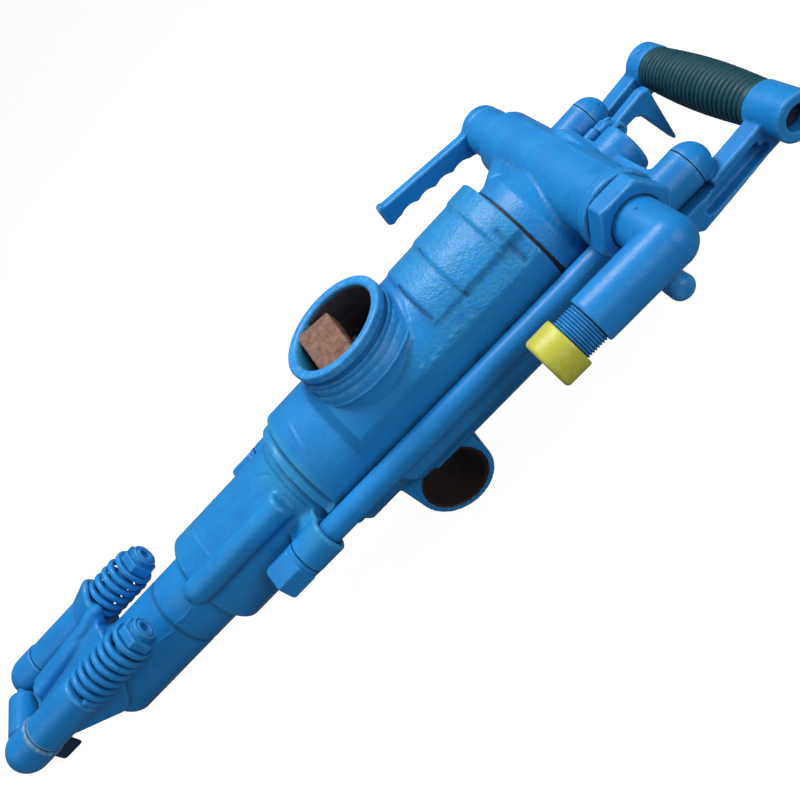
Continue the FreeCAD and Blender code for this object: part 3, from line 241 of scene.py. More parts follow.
def makeEdgeAndHollowGroup():
    # edges and hollows come from the vertex values edge and hollow, broken up by noise; the edges carry wear and a
    # painted highlight, the hollows painted shade
    group = bpy.data.node_groups.new("edgeLightAndHollowShade", "ShaderNodeTree")
    given, out = addSockets(group, [("Break Scale", 210.0), ("Spread", 0.45)], ["Edge", "Hollow"])
    place = addNode(group, "ShaderNodeTexCoord").outputs["Object"]
    split = addNoise(group, place, given.outputs["Break Scale"], 4.0, 0.7)
    broken = addRange(group, split, given.outputs["Spread"], 0.85, 0.15, 1.0)
    group.links.new(addMath(group, "MULTIPLY", readAttribute(group, "edge"), broken, True), out.inputs["Edge"])
    dim = addRange(group, split, 0.2, 0.6, 0.8, 1.0)
    group.links.new(addMath(group, "MULTIPLY", readAttribute(group, "hollow"), dim, True), out.inputs["Hollow"])
    return group


def makeGrimeGroup():
    # painted shade where pieces meet and in creases, from ambient occlusion, broken into streaks
    group = bpy.data.node_groups.new("seamGrime", "ShaderNodeTree")
    given, out = addSockets(group, [("Reach", 0.006), ("Amount", 1.0)], ["Grime"])
    place = addNode(group, "ShaderNodeTexCoord").outputs["Object"]
    shut = addNode(group, "ShaderNodeAmbientOcclusion", [("Distance", given.outputs["Reach"])], samples=6)
    streak = addNoise(group, place, 90.0, 5.0)
    dark = addRange(group, shut.outputs["AO"], 0.72, 0.25)
    wide = addMath(group, "MULTIPLY", dark, addRange(group, streak, 0.3, 0.65, 0.45, 1.0))
    group.links.new(addMath(group, "MULTIPLY", wide, given.outputs["Amount"], True), out.inputs["Grime"])
    return group


def makeMachineGroup():
    # fine turning marks about the drill axis, with light oil stains
    group = bpy.data.node_groups.new("turnedMetal", "ShaderNodeTree")
    given, out = addSockets(group, [("Mark Scale", 2600.0)], ["Mark", "Stain"])
    place = addNode(group, "ShaderNodeTexCoord").outputs["Object"]
    stretched = addNode(group, "ShaderNodeMapping", [("Vector", place), ("Scale", (1.0, 0.04, 0.04))])
    mark = addNoise(group, stretched.outputs[0], given.outputs["Mark Scale"], 2.0)
    group.links.new(mark, out.inputs["Mark"])
    group.links.new(addRange(group, addNoise(group, place, 70.0, 6.0, 0.7), 0.38, 0.72), out.inputs["Stain"])
    return group


castGroup = makeCastGroup()
edgeAndHollowGroup = makeEdgeAndHollowGroup()
seamShadeGroup = makeGrimeGroup()
machineGroup = makeMachineGroup()


def placeGroup(tree, group, **values):
    node = tree.nodes.new("ShaderNodeGroup")
    node.node_tree = group
    for key, value in values.items():
        node.inputs[key].default_value = value
    return node


def startMaterial(name):
    material = bpy.data.materials.new(name)
    material.use_nodes = True
    tree = material.node_tree
    tree.nodes.clear()
    out = tree.nodes.new("ShaderNodeOutputMaterial")
    shader = tree.nodes.new("ShaderNodeBsdfPrincipled")
    tree.links.new(shader.outputs[0], out.inputs["Surface"])
    return material, tree, shader


def setBump(tree, shader, height, strength, distance):
    bump = addNode(tree, "ShaderNodeBump", [("Height", height), ("Strength", strength), ("Distance", distance)])
    tree.links.new(bump.outputs[0], shader.inputs["Normal"])


# materials
paintSettings = {
    "paint": (0.012, 0.230, 0.600, 1.0),
    "deep": (0.009, 0.175, 0.500, 1.0),
    "teal": (0.030, 0.270, 0.420, 1.0),
    # pale blue of worn edges and painted highlights
    "pale": (0.150, 0.500, 0.850, 1.0),
    # dark blue-black of the painted shade, also used for the gasket joint
    "shadeColour": (0.006, 0.016, 0.034, 1.0),
    "iron": (0.250, 0.145, 0.110, 1.0),
    "rust": (0.120, 0.058, 0.036, 1.0),
    "cream": (0.360, 0.460, 0.360, 1.0),
    "roughness": 0.36,
    "coat": 0.06,
    "specular": 0.22,
}


def makePaint(name, settings, grain=620.0, grainHeight=0.0005, edgeShare=0.55, tealShare=0.55):
    material, tree, shader = startMaterial(name)
    skin = placeGroup(tree, castGroup, **{"Grain Scale": grain})
    wearAndHighlight = placeGroup(tree, edgeAndHollowGroup)
    seamShading = placeGroup(tree, seamShadeGroup)
    bare = readAttribute(tree, "bare")
    paint = addMix(tree, skin.outputs["Mottle"], settings["deep"], settings["paint"])
    thin = addMath(tree, "MULTIPLY", readAttribute(tree, "rough"), skin.outputs["Blotch"])
    thin = addMath(tree, "MULTIPLY", thin, tealShare)
    tinted = addMath(tree, "MAXIMUM", thin, addMath(tree, "MULTIPLY", readAttribute(tree, "tint"), 0.8), True)
    paint = addMix(tree, tinted, paint, settings["teal"])
    # worn edges with a painted highlight: convex edges and raised lines turn pale blue
    wornAndLit = addMath(tree, "MULTIPLY", wearAndHighlight.outputs["Edge"], edgeShare, True)
    paint = addMix(tree, wornAndLit, paint, settings["pale"])
    paint = addMix(tree, readAttribute(tree, "scrape"), paint, settings["cream"])
    # painted shade: darker in hollows, where pieces meet and along the shade-and-joint marks, which also draw the
    # black gasket joint
    dark = addMath(tree, "MAXIMUM", addMath(tree, "MULTIPLY", wearAndHighlight.outputs["Hollow"], 0.2),
                   addMath(tree, "MULTIPLY", seamShading.outputs["Grime"], 0.85), True)
    dark = addMath(tree, "MAXIMUM", dark, readAttribute(tree, "soot"), True)
    iron = addMix(tree, skin.outputs["Blotch"], settings["rust"], settings["iron"])
    skinColour = addMix(tree, bare, paint, iron)
    tree.links.new(addMix(tree, dark, skinColour, settings["shadeColour"]), shader.inputs["Base Color"])
    uneven = addRange(tree, skin.outputs["Blotch"], 0.0, 1.0, settings["roughness"], settings["roughness"] + 0.12)
    dull = addMath(tree, "ADD", uneven, addMath(tree, "MULTIPLY", dark, 0.3))
    dull = addMath(tree, "ADD", dull, addMath(tree, "MULTIPLY", bare, 0.2), True)
    tree.links.new(dull, shader.inputs["Roughness"])
    gloss = addMath(tree, "MULTIPLY", addMath(tree, "SUBTRACT", 1.0, bare, True), settings["coat"])
    tree.links.new(gloss, shader.inputs["Coat Weight"])
    shader.inputs["Coat Roughness"].default_value = 0.14
    shader.inputs["Specular IOR Level"].default_value = settings["specular"]
    height = addMath(tree, "ADD", skin.outputs["Grain"], addMath(tree, "MULTIPLY", skin.outputs["Peel"], 0.10))
    setBump(tree, shader, height, 0.85, grainHeight)
    return material


def makeMetal(name, colour, stained, roughness, metallic, bumpDistance=0.00008):
    material, tree, shader = startMaterial(name)
    metal = placeGroup(tree, machineGroup)
    seamShading = placeGroup(tree, seamShadeGroup)
    skin = addMix(tree, metal.outputs["Stain"], colour, stained)
    # painted shade where pieces meet, mixed in as near black
    tree.links.new(addMix(tree, addMath(tree, "MULTIPLY", seamShading.outputs["Grime"], 0.7), skin,
                          (0.010, 0.009, 0.008, 1.0)), shader.inputs["Base Color"])
    tree.links.new(addRange(tree, metal.outputs["Stain"], 0.0, 1.0, roughness, roughness + 0.25),
                   shader.inputs["Roughness"])
    shader.inputs["Metallic"].default_value = metallic
    setBump(tree, shader, metal.outputs["Mark"], 0.6, bumpDistance)
    return material


def makeMoulded(name, settings):
    # rubber or plastic, with wear and a painted highlight on its edges and painted shade in its corners
    material, tree, shader = startMaterial(name)
    skin = placeGroup(tree, castGroup, **{"Grain Scale": settings["grain"], "Mottle Scale": settings["mottle"]})
    wearAndHighlight = placeGroup(tree, edgeAndHollowGroup, **{"Break Scale": settings["break"]})
    seamShading = placeGroup(tree, seamShadeGroup, **{"Reach": settings["reach"]})
    mottled = addMath(tree, "MULTIPLY", skin.outputs["Mottle"], settings["shadeShare"])
    dye = addMix(tree, mottled, settings["colour"], settings["shade"])
    # worn edges with a painted highlight in the edge colour
    wornAndLit = addMath(tree, "MULTIPLY", wearAndHighlight.outputs["Edge"], settings["edgeShare"], True)
    dye = addMix(tree, wornAndLit, dye, settings["edge"])
    # painted shade where pieces meet, in the shade colour
    seamShaded = addMath(tree, "MULTIPLY", seamShading.outputs["Grime"], settings["seamShadeShare"])
    tree.links.new(addMix(tree, seamShaded, dye, settings["shadeColour"]), shader.inputs["Base Color"])
    roughness = settings["roughness"]
    tree.links.new(addRange(tree, skin.outputs["Blotch"], 0.0, 1.0, *roughness), shader.inputs["Roughness"])
    shader.inputs["Specular IOR Level"].default_value = settings["specular"]
    setBump(tree, shader, skin.outputs["Peel"], settings["peel"], 0.0001)
    return material


gripSkin = {
    "colour": (0.004, 0.040, 0.060, 1.0), "shade": (0.020, 0.115, 0.145, 1.0), "shadeShare": 0.3,
    "edge": (0.020, 0.115, 0.145, 1.0), "edgeShare": 0.6, "shadeColour": (0.002, 0.010, 0.014, 1.0), "seamShadeShare": 1.0,
    "roughness": (0.42, 0.57), "specular": 0.3, "peel": 0.5,
    "grain": 700.0, "mottle": 60.0, "break": 320.0, "reach": 0.003,
}
gasketSkin = dict(gripSkin, colour=(0.006, 0.006, 0.008, 1.0), shade=(0.018, 0.018, 0.020, 1.0),
                  edge=(0.018, 0.018, 0.020, 1.0), roughness=(0.55, 0.70))
capSkin = {
    "colour": (0.460, 0.480, 0.022, 1.0), "shade": (0.380, 0.350, 0.012, 1.0), "shadeShare": 0.5,
    "edge": (0.80, 0.80, 0.30, 1.0), "edgeShare": 0.35, "shadeColour": (0.16, 0.14, 0.02, 1.0), "seamShadeShare": 0.6,
    "roughness": (0.40, 0.50), "specular": 0.5, "peel": 0.35,
    "grain": 500.0, "mottle": 45.0, "break": 210.0, "reach": 0.006,
}
bluePaint = makePaint("bluePaint", paintSettings)
finePaint = makePaint("bluePaintFine", paintSettings, 800.0, 0.0002, 0.6, 0.25)
darkSteel = makeMetal("forgedSteel", (0.018, 0.030, 0.050, 1.0), (0.008, 0.012, 0.020, 1.0), 0.45, 0.35, 0.0002)
groundSteel = makeMetal("groundSteel", (0.46, 0.46, 0.47, 1.0), (0.26, 0.23, 0.20, 1.0), 0.28, 1.0)
bronze = makeMetal("oiledBronze", (0.52, 0.32, 0.13, 1.0), (0.28, 0.16, 0.07, 1.0), 0.32, 1.0)
# near-black iron for the bare iron parts: the leg bush's dark stands in for painted shade inside the leg bore
ironInBoreShade = makeMetal("ironInBoreShade", (0.020, 0.011, 0.008, 1.0), (0.010, 0.006, 0.004, 1.0), 0.6, 0.1, 0.0002)
gripRubber = makeMoulded("gripRubber", gripSkin)
blackRubber = makeMoulded("blackRubber", gasketSkin)
yellowPlastic = makeMoulded("yellowPlastic", capSkin)
slotMaterials = {
    "blue_paint": finePaint, "bare_iron": ironInBoreShade, "steel": groundSteel, "dark_steel": darkSteel,
    "bronze": bronze, "grip_rubber": gripRubber, "black_rubber": blackRubber, "yellow_plastic": yellowPlastic,
}
nodeSlots = {part["node"]: part["material_slot"] for part in frame["record"]["subparts"]}
# steel that the paint gun reached, and the rod inside the grip, given dark steel as painted shade of its hole
nodeMaterials = {
    "trigger_pin": finePaint, "retract_valve": finePaint, "retainer_pin": finePaint, "grip_rod": darkSteel,
}
for nodeName, nodeObject in frame["nodes"].items():
    nodeObject.data.materials.clear()
    nodeObject.data.materials.append(nodeMaterials.get(nodeName, slotMaterials[nodeSlots[nodeName]]))
print("materials made:", len(bpy.data.materials))


# mesh tools
def readItems(items, key, width=3, kind=np.float64):
    flat = np.empty(len(items) * width, kind)
    items.foreach_get(key, flat)
    return flat.reshape(-1, width)


def readPoints(mesh):
    return readItems(mesh.vertices, "co")


def readNormals(mesh):
    return readItems(mesh.vertices, "normal")


def readLinks(mesh, points):
    # the edges, the number of neighbours of each point, and the mean edge length
    edges = readItems(mesh.edges, "vertices", 2, np.int64)
    degree = np.maximum(np.bincount(edges.ravel(), minlength=len(points)), 1)
    return edges, degree, np.linalg.norm(points[edges[:, 0]] - points[edges[:, 1]], axis=1).mean()


def writePoints(mesh, points):
    mesh.vertices.foreach_set("co", points.astype(np.float32).ravel())
    mesh.update()


def writeValue(mesh, name, values):
    layer = mesh.attributes.get(name) or mesh.attributes.new(name, "FLOAT", "POINT")
    layer.data.foreach_set("value", np.clip(values, 0.0, 1.0).astype(np.float32))


def ringMean(points, edges, degree):
    count = len(points)
    total = np.empty_like(points)
    for axis in range(points.shape[1]):
        total[:, axis] = (np.bincount(edges[:, 0], points[edges[:, 1], axis], count)
                          + np.bincount(edges[:, 1], points[edges[:, 0], axis], count))
    return total / degree[:, None]


def onDrill(points):
    # the points in millimetres on the drill axis
    return (points - np.array(legShift)) / millimetre


def boxMask(points, low, high, soft=2.0):
    # 1 inside a box given in millimetres on the drill axis, falling to 0 over the soft distance
    placed = onDrill(points)
    away = np.maximum(np.maximum(np.array(low) - placed, placed - np.array(high)), 0.0)
    return np.clip(1.0 - np.linalg.norm(away, axis=1) / soft, 0.0, 1.0)


def softenMesh(mesh, hollowRadius, edgeRadius, rounds):
    # limits how tightly the skin may bend, which fills inner corners and rounds outer edges
    points = readPoints(mesh)
    edges, degree, spacing = readLinks(mesh, points)
    fillLimit = spacing ** 2 / (4 * hollowRadius)
    edgeLimit = spacing ** 2 / (4 * edgeRadius)
    for step in range(rounds):
        if step % 3 == 0:
            writePoints(mesh, points)
            normals = readNormals(mesh)
        pull = ringMean(points, edges, degree) - points
        depth = (pull * normals).sum(1)
        slide = pull - depth[:, None] * normals
        excess = np.maximum(depth - fillLimit, 0.0) + np.minimum(depth + edgeLimit, 0.0)
        points = points + normals * (excess * 0.85)[:, None] + slide * 0.35
    writePoints(mesh, points)


def measureBends(mesh, edgeScale, hollowScale, spreadRounds=3):
    # worn edges and filled hollows, from how the finished skin bends
    points = readPoints(mesh)
    edges, degree, spacing = readLinks(mesh, points)
    depth = ((ringMean(points, edges, degree) - points) * readNormals(mesh)).sum(1)[:, None]
    for _ in range(spreadRounds):
        depth = ringMean(depth, edges, degree) * 0.5 + depth * 0.5
    bend = depth[:, 0] * 4 / spacing ** 2
    return (-bend * edgeScale - 0.35) / 0.65, (bend * hollowScale - 0.35) / 0.65


def addRelief(mesh, scale, height, mask):
    points = readPoints(mesh)
    normals = readNormals(mesh)
    lift = np.array([noise.fractal(Vector(p) * scale, 0.8, 2.1, 3) for p in points])
    writePoints(mesh, points + normals * (lift * height * mask)[:, None])


def drawLines(mesh, lines, values):
    # raised beads, grooves and pits along short lines: start, end, width, height, then wear with a painted highlight,
    # or painted shade below zero
    points = readPoints(mesh)
    normals = readNormals(mesh)
    placed = onDrill(points)
    lift = np.zeros(len(points))
    for start, end, width, height, wearAndHighlight in lines:
        first = np.array(start, float)
        run = np.array(end, float) - first
        share = np.clip((placed - first) @ run / max(run @ run, 1e-9), 0.0, 1.0)
        offset = placed - first - share[:, None] * run
        depth = (offset * normals).sum(1)
        away = np.linalg.norm(offset - depth[:, None] * normals, axis=1)
        strength = np.exp(-(away / width) ** 2) * (np.abs(depth) < 5.0)
        lift += strength * height * millimetre
        values["wearAndHighlight" if wearAndHighlight > 0 else "soot"] += strength * abs(wearAndHighlight)
    writePoints(mesh, points + normals * lift[:, None])


def meshFromNode(node):
    work = bmesh.new()
    work.from_mesh(frame["nodes"][node].data)
    bmesh.ops.remove_doubles(work, verts=work.verts, dist=0.00001)
    return work


def finishPiece(name, mesh, material, body, nodes):
    piece = bpy.data.objects.new(name, mesh)
    bpy.context.scene.collection.objects.link(piece)
    mesh.materials.clear()
    mesh.materials.append(material)
    mesh.shade_smooth()
    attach(piece, body)
    if nodes:
        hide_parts(*nodes)
    return piece


def linkWork(name, work):
    mesh = bpy.data.meshes.new(name)
    work.to_mesh(mesh)
    work.free()
    holder = bpy.data.objects.new(name, mesh)
    bpy.context.scene.collection.objects.link(holder)
    return holder


def voxelSkin(name, work, cutWork, voxel):
    # one closed skin of even quads round everything in the working mesh
    raw = linkWork(name + "Raw", work)
    cutter = None
    if cutWork:
        cutter = linkWork(name + "Cut", cutWork)
        carve = raw.modifiers.new("carve", "BOOLEAN")
        carve.operation = "DIFFERENCE"
        carve.use_self = True
        carve.object = cutter
    remesh = raw.modifiers.new("skin", "REMESH")
    remesh.mode = "VOXEL"
    remesh.voxel_size = voxel
    bpy.context.view_layer.update()
    shaped = raw.evaluated_get(bpy.context.evaluated_depsgraph_get())
    mesh = bpy.data.meshes.new_from_object(shaped)
    mesh.name = name
    for holder in (raw, cutter):
        if holder:
            spent = holder.data
            bpy.data.objects.remove(holder)
            bpy.data.meshes.remove(spent)
    return mesh


def addRod(work, start, end, radius, endRadius=None, sides=32):
    # a straight or tapered rod with closed ends
    axis = end - start
    place = Matrix.Translation((start + end) / 2) @ axis.to_track_quat("Z", "Y").to_matrix().to_4x4()
    bmesh.ops.create_cone(work, cap_ends=True, segments=sides, radius1=radius,
                          radius2=radius if endRadius is None else endRadius, depth=axis.length, matrix=place)


def addBall(work, centre, radius):
    bmesh.ops.create_icosphere(work, subdivisions=3, radius=radius, matrix=Matrix.Translation(centre))


def addBlock(work, lowCorners, highCorners):
    # a closed block between two outlines that have the same number of corners
    low = [work.verts.new(corner) for corner in lowCorners]
    high = [work.verts.new(corner) for corner in highCorners]
    faces = [work.faces.new(low), work.faces.new(high[::-1])]
    for place in range(len(low)):
        after = (place + 1) % len(low)
        faces.append(work.faces.new((low[place], high[place], high[after], low[after])))
    bmesh.ops.recalc_face_normals(work, faces=faces)


def addPrism(work, outline, yFrom, yTo):
    # a prism across the drill, from an outline of (x, z) corners in millimetres
    addBlock(work, [atDrill(x, yFrom, z) for x, z in outline], [atDrill(x, yTo, z) for x, z in outline])


def slotOutline(start, end, radius, steps=8):
    # a long hole with round ends, between two centres
    run = math.atan2(end[1] - start[1], end[0] - start[0])
    outline = []
    for centre, turn in ((start, run + math.pi / 2), (end, run - math.pi / 2)):
        for step in range(steps + 1):
            angle = turn + math.pi * step / steps
            outline.append((centre[0] + radius * math.cos(angle), centre[1] + radius * math.sin(angle)))
    return outline


def castPiece(name, node, body, settings, extras=None, cuts=None, radii=None, marks=None, lines=(), trim=None,
              material=None):
    # a cast or painted copy of a solid: rounded, slightly uneven, with values for wear, painted highlight and painted
    # shade in its vertices
    work = meshFromNode(node)
    if extras:
        extras(work)
    cutWork = None
    if cuts:
        cutWork = bmesh.new()
        cuts(cutWork)
    mesh = voxelSkin(name, work, cutWork, settings["voxel"])
    points = readPoints(mesh)
    hollowRadius = np.full(len(points), settings["hollow"])
    edgeRadius = np.full(len(points), settings["edge"])
    if radii:
        radii(points, hollowRadius, edgeRadius)
    softenMesh(mesh, hollowRadius, edgeRadius, settings["rounds"])
    points = readPoints(mesh)
    values = {key: np.zeros(len(points)) for key in ("rough", "bare", "tint", "soot", "wearAndHighlight", "scrape")}
    values["rough"] += settings["rough"]
    if marks:
        marks(points, values)
    if settings["relief"]:
        addRelief(mesh, settings["reliefScale"], settings["relief"], 0.25 + 0.75 * values["rough"])
    edge, hollow = measureBends(mesh, settings["edgeScale"], settings["hollowScale"])
    if lines:
        drawLines(mesh, lines, values)
    writeValue(mesh, "edge", np.maximum(edge, values.pop("wearAndHighlight")))
    writeValue(mesh, "hollow", hollow)
    for key, value in values.items():
        writeValue(mesh, key, value)
    if trim:
        work = bmesh.new()
        work.from_mesh(mesh)
        gone = trim(onDrill(readPoints(mesh)))
        work.verts.ensure_lookup_table()
        bmesh.ops.delete(work, geom=[work.verts[place] for place in np.nonzero(gone)[0]], context="VERTS")
        work.to_mesh(mesh)
        work.free()
    piece = finishPiece(name, mesh, material or bluePaint, body, [node])
    print("cast piece", name, len(mesh.vertices), "vertices")
    return piece


def roundProfile(profile, steps=3):
    # corners of (along, out, rounding) become points, each with an edge and a hollow value
    points = []
    for place, (along, out, rounding) in enumerate(profile):
        here = np.array((along, out))
        if rounding <= 0 or place in (0, len(profile) - 1):
            points.append((along, out, 0.0, 0.0))
            continue
        back = np.array(profile[place - 1][:2]) - here
        on = np.array(profile[place + 1][:2]) - here
        start = here + back / np.linalg.norm(back) * min(rounding, np.linalg.norm(back) * 0.45)
        end = here + on / np.linalg.norm(on) * min(rounding, np.linalg.norm(on) * 0.45)
        convex = float(back[0] * on[1] - back[1] * on[0] > 0)
        for step in range(steps + 1):
            share = step / steps
            spot = (1 - share) ** 2 * start + 2 * share * (1 - share) * here + share ** 2 * end
            points.append((spot[0], spot[1], convex, 1.0 - convex))
    return points


def lathe(name, profile, origin, axis, sides, material, body, nodes, marks=None):
    # a turned piece about an axis; the profile is in millimetres along and out from the origin
    rings = roundProfile(profile)
    closed = profile[0][:2] == profile[-1][:2]
    if closed:
        rings = rings[:-1]
    first = axis.orthogonal().normalized()
    second = axis.cross(first)
    work = bmesh.new()
    rows = []
    for along, out, _, _ in rings:
        row = []
        for step in range(sides):
            angle = math.tau * step / sides
            spoke = first * math.cos(angle) + second * math.sin(angle)
            row.append(work.verts.new(origin + (axis * along + spoke * out) * millimetre))
        rows.append(row)
    for low, high in zip(rows, rows[1:] + (rows[:1] if closed else [])):
        for step in range(sides):
            after = (step + 1) % sides
            work.faces.new((low[step], low[after], high[after], high[step]))
    bmesh.ops.recalc_face_normals(work, faces=work.faces)
    mesh = bpy.data.meshes.new(name)
    work.to_mesh(mesh)
    work.free()
    values = {"edge": np.repeat([ring[2] for ring in rings], sides),
              "hollow": np.repeat([ring[3] for ring in rings], sides)}
    for key in ("rough", "bare", "tint", "soot", "scrape"):
        values[key] = np.zeros(len(mesh.vertices))
    if marks:
        marks(readPoints(mesh), values)
    for key, value in values.items():
        writeValue(mesh, key, value)
    return finishPiece(name, mesh, material, body, nodes)


# the middle casting and its exhaust neck
castSettings = {
    "hollow": 0.006, "edge": 0.0022, "rounds": 80, "rough": 0.1,
    "relief": 0.00012, "reliefScale": 300.0, "edgeScale": 0.0022, "hollowScale": 0.006,
}
cylinderSettings = dict(castSettings, voxel=0.00112, hollow=0.0065, edge=0.0018, rounds=70, rough=0.25,
                        relief=0.00016, reliefScale=420.0, edgeScale=0.0018)
# pale raised beads are painted highlights along ridges, edges and cast dots, with some wear; the lines below zero are
# painted shade at the foot of the pad steps
cylinderLines = [
    ((64.6, 8.7, 52.3), (66.5, 33.1, 41.4), 0.8, 0.5, 0.9),
    ((84.8, 8.3, 44.2), (87.4, 30.4, 33.2), 1.0, 0.4, 0.3),
    ((-102.6, -8, 57.0), (-102.8, 41, 40.0), 1.6, 1.0, 0.8),
    ((-109.5, 31, 47.0), (-109.5, 47.5, 30.0), 1.6, -1.2, -0.5),
    ((-71.0, -5.8, 55.7), (-71.4, 40.4, 38.7), 1.3, -0.9, -0.75),
    ((-46.0, 4.6, 55.8), (-47.0, 36.6, 42.4), 1.2, -0.8, -0.7),
    ((-43.0, 17.0, 52.3), (-36.5, 29.0, 46.7), 1.5, 0.5, 0.9),
    ((-36.5, 29.0, 46.7), (-30.0, 35.0, 42.4), 1.5, 0.6, 1.0),
    ((-30.0, 35.0, 42.4), (-15.3, 39.3, 38.4), 1.4, 0.5, 0.8),
    ((-15.3, 39.3, 38.4), (-2.5, 41.2, 36.4), 1.3, 0.3, 0.4),
    ((-53.0, 46.2, 30.8), (-52.0, 46.2, 30.4), 1.5, 0.9, 0.7),
    ((-63.4, 46.6, 29.6), (-62.6, 46.6, 29.6), 1.2, 0.7, 0.6),
    ((-47.0, 46.6, 30.0), (-46.5, 46.6, 30.0), 1.1, 0.7, 0.6),
    ((-31.1, 47.4, 28.3), (-30.4, 47.2, 28.6), 1.3, 0.8, 0.7),
    ((-22.3, 46.2, 30.2), (-21.6, 46.2, 30.2), 1.1, 0.7, 0.6),
    ((-38.0, 46.8, 29.4), (-37.4, 46.8, 29.4), 0.9, 0.6, 0.6),
]
landSettings = {
    "foot": 52.0,
    "top": [(24.4, 21.0, 59.0), (24.4, -24.6, 67.6), (-1.6, -22.0, 66.0), (-1.6, 21.0, 59.0)],
    "centre": 11.5, "half": 13.0, "reach": 33.0, "height": 68.0,
}
# the ring takes the skin's place between these radii, above the barrel that it stands on
trimSettings = {
    "heights": (48.6, 51.0, 55.2, 55.8, 70.0), "walls": (43.6, 42.2, 40.0, 39.0, 39.0), "bore": 31.6,
    "barrel": 55.0, "rearBarrel": 58.0, "rearEnd": 5.0, "clear": 0.5,
}
neckSettings = {
    "profile": [(43.0, 44.0, 0), (44.6, 45.4, 0.5), (45.9, 45.5, 0.5), (46.8, 44.3, 0.6), (51.0, 41.9, 0.5),
                (51.6, 40.9, 0.4), (55.2, 39.4, 0.4), (55.8, 38.4, 0.3), (58.7, 38.4, 0.4), (58.9, 35.8, 0.5),
                (62.7, 35.8, 0.5), (62.9, 38.4, 0.5), (67.9, 38.4, 1.0), (68.8, 37.2, 0.8), (68.8, 33.0, 1.0),
                (67.4, 31.5, 0.9), (63.5, 31.3, 0.5), (47.6, 32.8, 0.4), (46.4, 35.0, 0), (43.0, 44.0, 0)],
    "sides": 144,
}


def cylinderRadii(points, hollowRadius, edgeRadius):
    x, y, z = onDrill(points).T
    ring = (np.hypot(x, y) < 47.0) & (z > 46.0)
    hollowRadius[ring] = 0.0012
    edgeRadius[ring] = 0.0011
    hollowRadius[ring & (x < -20) & (np.abs(y) < 25)] = 0.0030
    hollowRadius[x < -117.5] = 0.002
    steps = (x < -40) & (y > -12) & (y < 34) & (z > 40)
    hollowRadius[steps] = 0.0012
    edgeRadius[steps] = 0.0011
    flank = (np.abs(y) > 46.5) & (np.abs(z) < 30) & (x > -119) & (x < 60)
    edgeRadius[flank] = 0.0012
    lug = (np.abs(y) > 25.5) & (z < -40)
    edgeRadius[lug] = 0.0016


def cylinderMarks(points, values):
    x, y, z = onDrill(points).T
    out = np.hypot(x, y)
    values["rough"] += 0.75 * boxMask(points, (-118, -30, 30), (-52, 52, 70), 10.0)
    values["rough"] += 0.35 * boxMask(points, (-118, 40, -20), (-20, 52, 34), 10.0)
    values["rough"][(out < 47.0) & (z > 48.0)] = 0.0
    inside = (out < 36.5) & (z > 10)
    land = inside & (x > -3) & (x < 26.5) & (z > 52) & (out < 33.6)
    values["bare"] = np.maximum(values["bare"], inside.astype(float))
    # painted shade inside the neck's hole
    values["soot"] += np.where(inside & ~land, 0.8, 0.0)
    # the leg bore is bare iron, darkened with painted shade
    bore = np.hypot(x - 25.0, z + 70.0) < 25.4
    values["bare"] = np.maximum(values["bare"], bore.astype(float))
    values["soot"] += np.where(bore, 0.85, 0.0)
    values["tint"] += 0.5 * boxMask(points, (76, -50, -60), (90, 60, 60), 3.0)


def cylinderTrim(placed):
    x, y, z = placed.T
    out = np.hypot(x, y)
    wall = np.interp(z, trimSettings["heights"], trimSettings["walls"])
    radius = np.where(x < trimSettings["rearEnd"], trimSettings["rearBarrel"], trimSettings["barrel"])
    barrel = np.sqrt(np.clip(radius ** 2 - y ** 2, 0.0, None)) + trimSettings["clear"]
    foot = np.maximum(barrel, trimSettings["heights"][0])
    land = ((np.abs(x - landSettings["centre"]) < landSettings["half"]) & (out < landSettings["reach"])
            & (z < landSettings["height"]) & (y < 0))
    return (out > trimSettings["bore"]) & (out < wall) & (z > foot) & ~land


def cylinderExtras(work):
    # the bare land inside the neck rises towards the far wall
    addBlock(work, [atDrill(x, y, landSettings["foot"]) for x, y, _ in landSettings["top"]],
             [atDrill(*corner) for corner in landSettings["top"]])


def neckMarks(points, values):
    x, y, z = onDrill(points).T
    out = np.hypot(x, y)
    inside = (out < 33.3) & (z < 67.5)
    values["tint"] += inside * 0.9
    rear = inside & (x < 14)
    values["bare"] += np.where(rear & (z < 66), 0.95, 0.0)
    # painted shade, darker deeper down the open slot
    values["soot"] += np.where(rear, np.clip((68.5 - z) / 4.0, 0.0, 0.85), 0.0)


castPiece("cylinderCasting", "cylinder", "root", cylinderSettings, cylinderExtras, None, cylinderRadii,
          cylinderMarks, cylinderLines, cylinderTrim)
lathe("neckRing", neckSettings["profile"], atDrill(0, 0, 0), upward, neckSettings["sides"], bluePaint, "root",
      [], neckMarks)


# the front casting with its retainer tubes
frontSettings = dict(castSettings, voxel=0.00108, rough=0.15)
# the first line is a pale bead, a painted highlight along a ridge with some wear; the second is painted shade in a
# short groove; the rest is a thin bead with a faint painted highlight
frontLines = [
    ((168.4, -4.7, 38.0), (165.5, 21.6, 31.6), 0.8, 0.5, 0.9),
    ((108.0, 6.0, 38.6), (99.0, 14.0, 36.5), 0.9, -0.5, -0.2),
    ((205.6, 25.3, 14.6), (213.0, 25.6, 14.0), 0.6, 0.5, 0.1),
    ((213.0, 25.6, 14.0), (219.7, 25.0, 15.0), 0.6, 0.5, 0.1),
    ((219.7, 25.0, 15.0), (226.0, 26.4, 12.6), 0.6, 0.5, 0.1),
    ((226.0, 26.4, 12.6), (238.0, 25.0, 15.1), 0.6, 0.5, 0.1),
]
ribEnd = {"start": (165, 32.0, 25.0), "end": (185, 32.0, 25.5), "radius": 0.0099, "ball": 0.0100}
